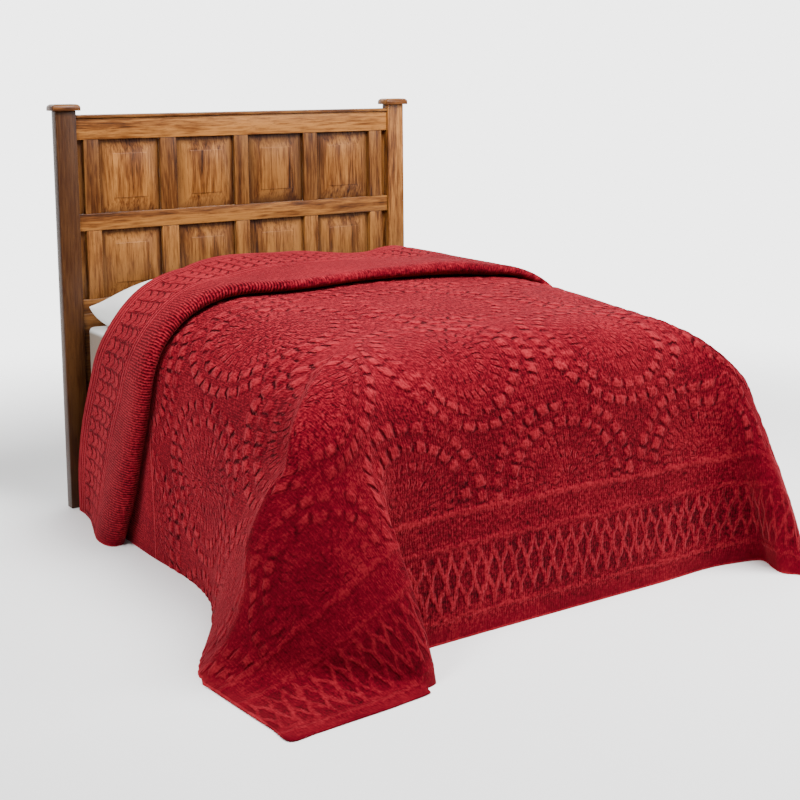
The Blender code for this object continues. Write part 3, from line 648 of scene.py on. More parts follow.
@dataclass
class Bedspread:
    """The chenille bedspread: top, sides, foot end, two corner flaps and the turned-back band."""

    columns: int = 80
    rings: tuple[int, ...] = (38, 42, 10, 12)
    tuft: float = 0.0026  # how far the tufts stand up in the cloth itself
    hem_step: float = 0.030
    fold: HeadFold = field(default_factory=HeadFold)
    nudge: float = 0.004  # share of a hanging line's length over which its slope is taken
    foot_drop: float = 0.0

    def side_patch(self, sign: int) -> tuple[Points, Points]:
        """One hanging side, from the band's hem to the foot corner.

        Args:
            sign: -1 for the left side, 1 for the right.

        Returns:
            Places (row, ring) and flat places.
        """
        rows = []
        for part, share, lift, _ in FOLD_ROWS:
            y0 = float(self.fold.row(part, share, lift, sign * 1.0)[0])
            line = self.side_line(sign, y0, part == "main")
            shares = line.shares(self.rings)
            y, rise = self.fold.row(part, share, lift, sign * (1.0 + shares))
            p = at_shares(line.path, shares)
            ahead = (at_shares(line.path, np.clip(shares + self.nudge, 0, 1))
                     - at_shares(line.path, np.clip(shares - self.nudge, 0, 1)))
            normal = np.column_stack([-ahead[:, 2], ahead[:, 0]]) * sign
            normal /= np.linalg.norm(normal, axis=1)[:, None]
            normal[0] = (0.0, 1.0)
            if part == "main":
                calm, full, power = SWELLS_CALM
                stir = np.clip((y0 - calm) / (full - calm), 0.0, 1.0) * share**power
                rise = rise + waves(y, shares) * stir
            p[:, 1] += y - y0
            p[:, [0, 2]] += normal * rise[:, None]
            rows.append(np.column_stack([p, y, sign * (X_HALF + shares * (FLAT_WIDTH / 2 - X_HALF))]))
        return self.with_flat(np.array(rows))

    @staticmethod
    def side_line(sign: int, y: float, main: bool) -> HangingLine:
        """The hanging line of one side, flared where it leaves the top close to a corner.

        Args:
            sign: -1 for the left side, 1 for the right.
            y: Where it leaves the top.
            main: Whether it is a line of the open cloth, and not of the head fold.

        Returns:
            The line.
        """
        edge, start = (SIDE_LEFT, X_LEFT) if sign < 0 else (SIDE_RIGHT, X_RIGHT)
        table = np.array(SIDE_FLARE)[::-1]
        flare_y = min(y, SIDE_FLARE[0][0]) if main else SIDE_FLARE[0][0]
        out, back = (float(curve_through(table[:, 0], table[:, k])(flare_y)) for k in (1, 2))
        hem = (edge + sign * out, y + back)
        return HangingLine((start, y), (edge, y), hem, hem, ROUND_LEFT if sign < 0 else ROUND_RIGHT)

    def top_patch(self) -> tuple[Points, Points]:
        """The top between the sides, from the band's hem to the foot end.

        Returns:
            Places (row, column) and flat places.
        """
        xs = np.linspace(X_LEFT, X_RIGHT, self.columns + 1)
        rows = []
        for part, share, lift, _ in FOLD_ROWS:
            y, rise = self.fold.row(part, share, lift, HeadFold.across(xs))
            rows.append(np.column_stack([xs, y, crown(xs, y) + rise, y, xs - X_MIDDLE]))
        return self.with_flat(np.array(rows))

    def with_flat(self, rows: Points) -> tuple[Points, Points]:
        """Fill in the rows and work out where each point is on the flat sheet.

        Args:
            rows: Array (row, column) of x, y, z, y before flaring, and place across the sheet.

        Returns:
            Places and flat places; the head fold is measured from its own hem.
        """
        counts = [row[3] for row in FOLD_ROWS]
        fine = refine_rows(rows, counts)
        run = np.concatenate([np.zeros((1, fine.shape[1])),
                              np.cumsum(np.linalg.norm(np.diff(fine[..., :3], axis=0), axis=2), axis=0)])
        ends = np.concatenate([[0], np.cumsum(counts)])
        parts = [row[0] for row in FOLD_ROWS]
        crease, open_top = ends[parts.index("tuck") - 1], ends[parts.index("main")]
        hidden = np.clip((run - run[crease]) / (run[open_top] - run[crease]), 0.0, 1.0)
        from_head = FLAT_LENGTH - run
        from_foot = self.foot_drop + fine[..., 3] - Y_FOOT
        along = (1.0 - hidden) * from_head + hidden * from_foot
        return fine[..., :3], np.stack([fine[..., 4], along], axis=-1)

    def foot_patch(self) -> tuple[Points, Points]:
        """The hanging foot end, ring by ring.

        Returns:
            Places (ring, column) and flat places.
        """
        hung = []
        for x in np.linspace(X_LEFT, X_RIGHT, self.columns + 1):
            near = max(0.0, 1.0 - (x - X_LEFT) / HEM_IN[0])
            hem = (x - HEM_IN[1] * near, SIDE_FOOT - HEM_IN[2] * near)
            line = HangingLine((x, Y_FOOT), (x, SIDE_FOOT), hem, hem, ROUND_FOOT)
            hung.append(self.hang(line, (x - X_MIDDLE, 0.0), 1.0))
        places, flat = map(np.array, zip(*hung))
        return places.swapaxes(0, 1), flat.swapaxes(0, 1)

    def hang(self, line: HangingLine, across: Span, down: float) -> tuple[Points, Points]:
        """Points down one hanging line of the foot end or of a corner.

        Args:
            line: The line.
            across: Where on the flat sheet it starts across, and how far across it runs to its hem.
            down: Share of the foot end's length that it runs towards the foot hem.

        Returns:
            Places and flat places.
        """
        shares = line.shares(self.rings)
        flat = np.column_stack([across[0] + across[1] * shares, self.foot_drop * (1.0 - down * shares)])
        return at_shares(line.path, shares), flat

    def corner_patch(self, sign: int) -> tuple[Points, Points]:
        """One foot corner's flap, turning from the side round to the foot end.

        Args:
            sign: -1 for the left corner, 1 for the right.

        Returns:
            Places (turn, ring) and flat places.
        """
        table, x = (LEFT_CORNER, X_LEFT) if sign < 0 else (RIGHT_CORNER, X_RIGHT)
        squares = ((ROUND_LEFT, ROUND_LEFT_CORNER, ROUND_FOOT) if sign < 0
                   else (ROUND_RIGHT, ROUND_RIGHT_CORNER, ROUND_FOOT))
        square_at = curve_through((0.0, 0.5, 1.0), squares)
        rows = np.array(table)
        smooth = [curve_through(rows[:, 0], rows[:, k]) for k in range(1, 8)]
        turns = [0.0]
        for a, b in zip(rows, rows[1:]):
            steps = max(2, 2 * round(float(np.linalg.norm(b[5:7] - a[5:7])) / self.hem_step))
            turns += np.linspace(a[0], b[0], steps + 1)[1:].tolist()
        side = FLAT_WIDTH / 2 - X_HALF
        hung = []
        for turn in turns:
            v = [float(f(turn)) for f in smooth]
            line = HangingLine((x, Y_FOOT), v[0:2], v[2:4], v[4:6], float(square_at(turn)), v[6])
            out, down = min(1.0, 2 * (1 - turn)), min(1.0, 2 * turn)
            hung.append(self.hang(line, (sign * X_HALF, sign * out * side), down))
        places, flat = map(np.array, zip(*hung))
        return places, flat

    def build(self) -> Piece:
        """Lay the whole sheet out.

        Returns:
            The bedspread as one closed piece.
        """
        middle = HangingLine((0.0, Y_FOOT), (0.0, SIDE_FOOT), (0.0, SIDE_FOOT), (0.0, SIDE_FOOT), ROUND_FOOT)
        self.foot_drop = float(lengths(middle.path)[-1])
        sheet = SheetMesh(CLOTH, HEM_ROLL)
        top = Grid(sheet, *self.top_patch())
        left = Grid(sheet, *self.side_patch(-1), left=top.ids[:, 0])
        right = Grid(sheet, *self.side_patch(1), left=top.ids[:, -1])
        foot = Grid(sheet, *self.foot_patch(), top=top.ids[-1, :])
        corner_left = self.corner(sheet, -1, left, foot.ids[:, 0], top.ids[-1, 0])
        corner_right = self.corner(sheet, 1, right, foot.ids[:, -1], top.ids[-1, -1])
        self.settle_facing(sheet)
        hems = [(g.ids[:, -1], g.ids[:, -2]) for g in (left, corner_left, corner_right, right)]
        hems.append((foot.ids[-1, :], foot.ids[-2, :]))
        hems += [(g.ids[0, :], g.ids[1, :]) for g in (top, left, right)]
        LOG.info("bedspread: foot drop %.3f m", self.foot_drop)
        return sheet.build("chenille_spread", hems, lambda flat: Motifs().standing(flat) * self.tuft)

    def corner(self, sheet: SheetMesh, sign: int, side: Grid, foot: Points, pole: int) -> Grid:
        """Add one foot corner's patch.

        Args:
            sheet: The mesh that it belongs to.
            sign: -1 for the left corner, 1 for the right.
            side: The side's patch.
            foot: Point numbers down the foot end's near edge.
            pole: Number of the point that every line of the corner starts from.

        Returns:
            The patch.
        """
        places, flat = self.corner_patch(sign)
        return Grid(sheet, places, flat, left=np.full(len(places), pole), top=side.ids[-1, :], bottom=foot)

    @staticmethod
    def settle_facing(sheet: SheetMesh) -> None:
        """Turn every patch's pile side away from the middle of the bed.

        Args:
            sheet: The mesh with its patches.
        """
        for patch in sheet.patches:
            p = sheet.places[SheetMesh.quads(patch.ids, 1)]
            face = np.cross(p[:, 2] - p[:, 0], p[:, 3] - p[:, 1])
            patch.facing = 1.0 if float((face * (p.mean(axis=1) - HEART)).sum()) > 0 else -1.0


# ---------------------------------------------------------------- the workbench
class Bench:
    """Modelling steps that every rigid piece goes through."""

    SHARP, SMOOTH = 30.0, 40.0  # degrees past which an edge is rounded over, and up to which it is smooth
    TOWARD = 0.5                # how much a face's normal must point a given way

    @staticmethod
    def facing(face: bpy.types.MeshPolygon, x: float = 0.0, y: float = 0.0, z: float = 0.0) -> bool:
        """Whether a face looks a given way."""
        return face.normal.dot(Vector((x, y, z))) > Bench.TOWARD

    @staticmethod
    def clear() -> None:
        """Leave edit mode and select nothing."""
        if bpy.context.object and bpy.context.object.mode != "OBJECT":
            bpy.ops.object.mode_set(mode="OBJECT")
        bpy.ops.object.select_all(action="DESELECT")

    @staticmethod
    def edit(obj: Piece) -> None:
        """Select one object alone and enter edit mode.

        Args:
            obj: The object.
        """
        Bench.clear()
        bpy.context.view_layer.objects.active = obj
        obj.select_set(True)
        bpy.ops.object.mode_set(mode="EDIT")

    @staticmethod
    def rest() -> None:
        """Back to object mode."""
        bpy.ops.object.mode_set(mode="OBJECT")

    @staticmethod
    def pick_faces(obj: Piece, wanted: Callable[[bpy.types.MeshPolygon], bool]) -> None:
        """Select some faces, in face mode, and stay in edit mode.

        Args:
            obj: The object being shaped.
            wanted: Tells of a face whether it is one of them.
        """
        Bench.rest()
        for part in (obj.data.vertices, obj.data.edges):
            part.foreach_set("select", [False] * len(part))
        for face in obj.data.polygons:
            face.select = bool(wanted(face))
        bpy.ops.object.mode_set(mode="EDIT")
        bpy.context.tool_settings.mesh_select_mode = (False, False, True)

    @staticmethod
    def block(name: str, low: Sequence[float], high: Sequence[float]) -> Piece:
        """A squared block between two corners of the bed's frame, its place in its mesh.

        Args:
            name: The new object's name.
            low: Lowest corner.
            high: Highest corner.

        Returns:
            The object, in object mode.
        """
        Bench.clear()
        bpy.ops.mesh.primitive_cube_add(size=1.0, location=(0.0, 0.0, 0.0))
        obj = bpy.context.object
        obj.name = obj.data.name = name
        bpy.ops.object.mode_set(mode="EDIT")
        bpy.ops.mesh.select_all(action="SELECT")
        bpy.ops.transform.resize(value=[b - a for a, b in zip(low, high)])
        place = [(a + b) / 2 for a, b in zip(low, high)]
        bpy.ops.transform.translate(value=(place[0] + BED_X, place[1] + HEAD_Y, place[2]))
        Bench.rest()
        return obj

    @staticmethod
    def soften(obj: Piece, width: float, segments: int) -> None:
        """Round over the edges of a board and shade it smooth between them.

        Args:
            obj: The board.
            width: How far in the rounding starts.
            segments: Faces across it.
        """
        Bench.clear()
        bpy.context.view_layer.objects.active = obj
        obj.select_set(True)
        bevel = obj.modifiers.new("round", "BEVEL")
        bevel.width, bevel.segments, bevel.limit_method = width, segments, "ANGLE"
        bevel.angle_limit = math.radians(Bench.SHARP)
        bpy.ops.object.modifier_apply(modifier=bevel.name)
        bpy.ops.object.shade_smooth_by_angle(angle=math.radians(Bench.SMOOTH))


# ---------------------------------------------------------------- shader maths
class Level:
    """A place or height that varies, over a material or at a mesh's points."""

    def cos(self) -> "Level":
        """Cosine."""
        return self.math("COSINE")

    def angle(self, across: "Level") -> "Level":
        """Angle of a place this far up and so far across."""
        return self.math("ARCTAN2", across)

    def above(self, level: float) -> "Level":
        """1 where the number is above a level, else 0."""
        return self.math("GREATER_THAN", level)

    def least(self, other: "Level | float") -> "Level":
        """The smaller of two."""
        return self.math("MINIMUM", other)

    def most(self, other: "Level | float") -> "Level":
        """The larger of two."""
        return self.math("MAXIMUM", other)

    def off_whole(self) -> "Level":
        """Signed distance to the nearest whole number."""
        return self - self.math("ROUND")

    def line(self, at: float, width: float) -> "Level":
        """A soft line: 1 where the number is at a place, 0 half a width away."""
        return abs(self - at).fade(width / 2, width / 8)

    def between(self, span: Span, soft: float) -> "Level":
        """1 inside a span, falling to 0 at its limits over a soft stretch."""
        return self.fade(span[0], span[0] + soft) * self.fade(span[1], span[1] - soft)

    def squeezed(self, least: float) -> "Level":
        """A number from 0 to 1 made to run from a least value to 1."""
        return self * (1.0 - least) + least


class Value(Level):
    """A number that varies over a surface, written as an ordinary expression."""

    def __init__(self, nodes: "Nodes", socket: Socket) -> None:
        """Wrap a socket of the given nodes."""
        self.nodes, self.socket = nodes, socket

    def math(self, operation: str, *others: "Value | float") -> "Value":
        """One Math node with this value first."""
        return self.nodes.math(operation, self, *others)

    def __add__(self, other: "Value | float") -> "Value":
        """Sum."""
        return self.math("ADD", other)

    __radd__ = __add__

    def __sub__(self, other: "Value | float") -> "Value":
        """Difference."""
        return self.math("SUBTRACT", other)

    def __rsub__(self, other: float) -> "Value":
        """Difference, reflected."""
        return self.nodes.math("SUBTRACT", other, self)

    def __mul__(self, other: "Value | float") -> "Value":
        """Product."""
        return self.math("MULTIPLY", other)

    __rmul__ = __mul__

    def __truediv__(self, other: "Value | float") -> "Value":
        """Quotient."""
        return self.math("DIVIDE", other)

    def __rtruediv__(self, other: float) -> "Value":
        """Quotient, reflected."""
        return self.nodes.math("DIVIDE", other, self)

    def __pow__(self, other: "Value | float") -> "Value":
        """Power."""
        return self.math("POWER", other)

    def __abs__(self) -> "Value":
        """Size without sign."""
        return self.math("ABSOLUTE")

    def fade(self, start: float, end: float, ends: Span = (0.0, 1.0)) -> "Value":
        """A smooth step.

        Args:
            start: Where it starts; it may be the larger of the two.
            end: Where it ends.
            ends: Its values there.

        Returns:
            The step's value.
        """
        if start > end:
            start, end, ends = end, start, ends[::-1]
        node = self.nodes.node("ShaderNodeMapRange", {"interpolation_type": "SMOOTHSTEP"},
                               {"Value": self, "From Min": start, "From Max": end,
                                "To Min": ends[0], "To Max": ends[1]})
        return Value(self.nodes, node.outputs[0])


class Samples(Level, np.ndarray):
    """Numbers at the points of a mesh, which take the same expressions as a Value."""

    MATHS = {"COSINE": np.cos, "ARCTAN2": np.arctan2, "GREATER_THAN": np.greater, "MINIMUM": np.minimum,
             "MAXIMUM": np.maximum, "ROUND": np.round}

    @classmethod
    def of(cls, numbers: Points) -> "Samples":
        """Wrap an array."""
        return np.ascontiguousarray(numbers, float).view(cls)

    def math(self, operation: str, *others: "Samples | float") -> "Samples":
        """One operation on every number, by the name that it has in a Math node."""
        return self.MATHS[operation](self, *others) * 1.0

    def fade(self, start: float, end: float) -> "Samples":
        """Smooth step: 0 at start, 1 at end, whichever is larger."""
        t = np.clip((self - start) / (end - start), 0.0, 1.0)
        return t * t * (3.0 - 2.0 * t)


@dataclass(frozen=True)
class Speckle:
    """A kind of noise."""

    scale: float         # how fine it is
    detail: float = 2.0  # how many finer layers it carries
    rough: float = 0.5   # how strong those are
    warp: float = 0.0    # how far it is drawn out of shape


class Nodes:
    """A tree of shader nodes."""

    def __init__(self, tree: bpy.types.NodeTree) -> None:
        """Take up a tree."""
        self.tree = tree

    def node(self, kind: str, settings: dict, inputs: dict) -> bpy.types.Node:
        """Add a node.

        Args:
            kind: The node's type.
            settings: Its properties, set before its sockets; "stops" are a ramp's (place, colour).
            inputs: Values, sockets or Values by socket name or number.

        Returns:
            The node.
        """
        node = self.tree.nodes.new(kind)
        for key, value in settings.items():
            if key == "stops":
                self.set_stops(node.color_ramp, value)
            else:
                setattr(node, key, value)
        for key, value in inputs.items():
            self.feed(node.inputs[key], value)
        return node

    @staticmethod
    def set_stops(ramp: bpy.types.ColorRamp, stops: Sequence[tuple[float, Shade]]) -> None:
        """Give a ramp its stops.

        Args:
            ramp: The ramp.
            stops: The place and colour of each.
        """
        while len(ramp.elements) < len(stops):
            ramp.elements.new(1.0)
        for element, (place, colour) in zip(ramp.elements, stops):
            element.position, element.color = place, (*colour, 1.0)

    def feed(self, socket: Socket, value: object) -> None:
        """Link or set one input.

        Args:
            socket: The input.
            value: A Value or a socket to link, or a number, vector or colour to set.
        """
        if isinstance(value, Value):
            value = value.socket
        if isinstance(value, Socket):
            self.tree.links.new(value, socket)
        else:
            socket.default_value = (*value, 1.0) if socket.type == "RGBA" and len(value) == 3 else value

    def math(self, operation: str, *terms: Value | float) -> Value:
        """One Math node."""
        node = self.node("ShaderNodeMath", {"operation": operation}, dict(enumerate(terms)))
        return Value(self, node.outputs[0])


class Paint(Nodes):
    """One material and the nodes that make it."""

    def __init__(self, name: str) -> None:
        """Start a material with its own shader.

        Args:
            name: The material's name.
        """
        self.material = bpy.data.materials.new(name)
        self.material.use_nodes = True
        super().__init__(self.material.node_tree)
        self.shader = self.tree.nodes["Principled BSDF"]

    def set(self, **values: object) -> None:
        """Set or link the shader's inputs; underscores in names stand for spaces."""
        for key, value in values.items():
            self.feed(self.shader.inputs[key.replace("_", " ")], value)

    def parts(self, vector: Socket) -> list[Value]:
        """The three numbers of a vector."""
        return [Value(self, out) for out in self.node("ShaderNodeSeparateXYZ", {}, {0: vector}).outputs]

    def flat_place(self) -> tuple[Value, Value, Socket]:
        """Place on the sheet laid flat.

        Returns:
            How far across, how far along, and both as one vector.
        """
        uv = self.node("ShaderNodeUVMap", {"uv_map": "flat"}, {}).outputs[0]
        across, along, _ = self.parts(uv)
        return across, along, uv

    def solid_place(self) -> Socket:
        """Place in the piece's own space."""
        return self.node("ShaderNodeTexCoord", {}, {}).outputs["Object"]

    def attribute(self, name: str, kind: str) -> Socket:
        """What a piece's points carry under a name, as a Fac or a Vector."""
        return self.node("ShaderNodeAttribute", {"attribute_name": name}, {}).outputs[kind]

    def stretched(self, place: Socket, scale: Sequence[float]) -> Socket:
        """A place scaled along each axis."""
        return self.node("ShaderNodeMapping", {}, {"Vector": place, "Scale": scale}).outputs[0]

    def noise(self, place: Socket, speckle: Speckle) -> Value:
        """Noise from 0 to 1 at a place."""
        node = self.node("ShaderNodeTexNoise", {}, {
            "Vector": place, "Scale": speckle.scale, "Detail": speckle.detail, "Roughness": speckle.rough,
            "Distortion": speckle.warp})
        return Value(self, node.outputs[0])

    def blend(self, share: Value | float, first: object, second: object) -> Socket:
        """Mix two colours, a share of 1 giving the second."""
        return self.node("ShaderNodeMix", {"data_type": "RGBA"}, {0: share, 6: first, 7: second}).outputs[2]

    def ramp(self, value: Value, stops: Sequence[tuple[float, Shade]]) -> Socket:
        """Colours along a value."""
        return self.node("ShaderNodeValToRGB", {"stops": stops}, {0: value}).outputs[0]

    def bump(self, height: Value, depth: float) -> None:
        """Raise the surface by height times depth in metres, as seen in its shading."""
        self.set(Normal=self.node("ShaderNodeBump", {}, {"Height": height, "Distance": depth}).outputs[0])


# ---------------------------------------------------------------- the finishes
@dataclass(frozen=True)
class Motifs:
    """The tufted design, laid out on the flat sheet in metres from its foot hem and middle line.

    A span that is named for an edge gives where it starts to rise and where it is full.
    """

    # round motifs of puffs
    spacing: float = 0.59           # between them across the bed
    row: float = 0.51               # between rows of them, each row half a step over
    first: Span = (0.066, 0.43)     # the middle of one, across and along
    field: Span = (0.405, 1.945)    # how far up the sheet they reach
    soft: float = 0.012             # how softly the field ends
    # rings of puffs in one: radius, number, half the length of a puff, height
    rings: tuple[tuple[float, int, float, float], ...] = (
        (0.267, 32, 0.021, 1.0), (0.208, 26, 0.021, 1.0), (0.150, 34, 0.020, 0.45), (0.095, 24, 0.017, 0.40),
        (0.042, 12, 0.016, 0.45))
    turn: float = 7.0               # puffs that a ring is turned by, for each metre of its radius
    puff_side: Span = (0.46, 0.24)  # a puff's edge along its ring, as a share of its step
    puff_end: Span = (1.0, 0.45)    # and across it, as a share of half its length
    gap_side: Span = (0.34, 0.47)   # the same of the gap beside it
    gap_end: Span = (1.1, 0.5)
    gap_least: float = 0.4          # depth of a gap between puffs of no height

    # border at the foot: pointed ovals between cord lines
    oval: Span = (0.050, 0.160)    # width and height of one
    oval_from: float = 0.110       # where the cords between them first meet
    ovals: Span = (0.090, 0.285)   # how far up the sheet they reach
    ovals_soft: float = 0.020
    net: Span = (0.0125, 0.002)    # a cord's edge, from its middle line
    net_high: float = 0.7
    hollow: Span = (0.004, 0.012)  # the edge of the hollow beside it
    hollow_deep: float = 0.32
    # cord lines: distance from the hem, width, height
    foot_cords: tuple[Shade, ...] = ((0.072, 0.020, 0.6), (0.296, 0.026, 0.45), (0.398, 0.034, 0.75))

    # border at the head: a braid between cord lines, measured from the head hem
    braid: Span = (0.076, 0.336)       # how far in it reaches
    braid_soft: float = 0.010
    braid_high: float = 0.8
    braid_step: Span = (0.054, 0.060)  # length and width of one stitch
    braid_gap: Span = (0.17, 0.04)     # the edge of a gap between rows of stitches
    braid_lean: Span = (0.2, 0.4)      # reach and least depth of such a gap over one stitch
    braid_cross: Span = (0.13, 0.03)   # the edge of a gap across the rows
    cross_deep: float = 0.55
    head_cords: tuple[Shade, ...] = (
        (0.020, 0.020, 0.8), (0.042, 0.018, 0.8), (0.062, 0.018, 0.8), (0.350, 0.020, 0.7),
        (0.378, 0.020, 0.6))

    # what the cloth's own mesh can hold
    bold: float = 0.9            # height above which a puff is in it
    bold_soft: float = 0.020
    band: Span = (0.070, 0.340)  # the braid as one raised band
    band_high: float = 0.6

    def nearest(self, across: Level, along: Level) -> tuple[Level, Level]:
        """Where a place is, seen from the middle of the nearest round motif.

        Args:
            across: Places across the sheet.
            along: Places along it.

        Returns:
            Distance and angle.
        """
        rows = zip((across, along), self.first, (self.spacing, 2 * self.row))
        even, odd = zip(*[[((p - (first + over * step)) / step).off_whole() * step for over in (0.0, 0.5)]
                          for p, first, step in rows])
        far = [(x * x + y * y) ** 0.5 for x, y in (even, odd)]
        pick = (far[1] - far[0]).above(0.0)
        x, y = (a * pick + b * (1.0 - pick) for a, b in zip(even, odd))
        return far[0].least(far[1]), y.angle(x)

    def puffs(self, across: Level, along: Level) -> tuple[Level, Level]:
        """The round motifs.

        Args:
            across: Places across the sheet.
            along: Places along it.

        Returns:
            Heights of the puffs, and of the gaps between neighbours in a ring.
        """
        far, angle = self.nearest(across, along)
        found: list[Level] = []
        for radius, count, half, high in self.rings:
            side = abs((angle * (count / (2 * math.pi)) + radius * self.turn).off_whole())
            ring = abs(far - radius)
            puff_out, puff_in = (half * share for share in self.puff_end)
            gap_out, gap_in = (half * share for share in self.gap_end)
            deep = self.gap_least + (1.0 - self.gap_least) * high
            pair = [side.fade(*self.puff_side) * ring.fade(puff_out, puff_in) * high,
                    side.fade(*self.gap_side) * ring.fade(gap_out, gap_in) * deep]
            found = [a.most(b) for a, b in zip(found, pair)] if found else pair
        return found[0], found[1]

    @staticmethod
    def cords(hem: Level, rows: Sequence[Shade]) -> Level:
        """Height of the cord lines that run beside a hem."""
        lines = [hem.line(at, thick) * high for at, thick, high in rows]
        return reduce(lambda a, b: a.most(b), lines)

    def foot_edging(self, across: Level, hem: Level) -> tuple[Level, Level]:
        """The border at the foot.

        Args:
            across: Places across the sheet.
            hem: Distances from the foot hem.

        Returns:
            Heights of its cord lines and pointed ovals, and of the hollows between.
        """
        width, height = self.oval
        wave = ((hem - self.oval_from) * (math.pi / height)).cos()
        net = abs(abs((across / width).off_whole()) - wave * wave * 0.5) * width
        band = hem.between(self.ovals, self.ovals_soft)
        raised = (net.fade(*self.net) * band * self.net_high).most(self.cords(hem, self.foot_cords))
        return raised, net.fade(*self.hollow) * band * self.hollow_deep

    def head_edging(self, across: Level, hem: Level) -> tuple[Level, Level]:
        """The border at the head.

        Args:
            across: Places across the sheet.
            hem: Distances from the head hem.

        Returns:
            Heights of its cord lines and braid, and of the gaps in the braid.
        """
        long, wide = self.braid_step
        lean, least = self.braid_lean
        band = hem.between(self.braid, self.braid_soft)
        side = (across / long).off_whole()
        rows = 0.5 - abs((hem / wide + abs(side)).off_whole())
        slant = rows.fade(*self.braid_gap) * side.fade(-lean, lean).squeezed(least)
        gap = slant.most((0.5 - abs(side)).fade(*self.braid_cross) * self.cross_deep)
        raised = ((1.0 - gap) * band * self.braid_high).most(self.cords(hem, self.head_cords))
        return raised, gap * band

    def standing(self, flat: Points) -> Points:
        """How far the cloth's own mesh stands up, for the tufts that it can hold.

        Args:
            flat: Places (point, 2) on the flat sheet.

        Returns:
            Shares of the full height.
        """
        across, along = Samples.of(flat[:, 0]), Samples.of(flat[:, 1])
        bold = replace(self, rings=tuple(ring for ring in self.rings if ring[3] > self.bold))
        puffs = bold.puffs(across, along)[0] * along.between(self.field, self.bold_soft)
        band = (FLAT_LENGTH - along).between(self.band, self.bold_soft) * self.band_high
        return np.asarray(puffs.most(self.cords(along, self.foot_cords)).most(band))


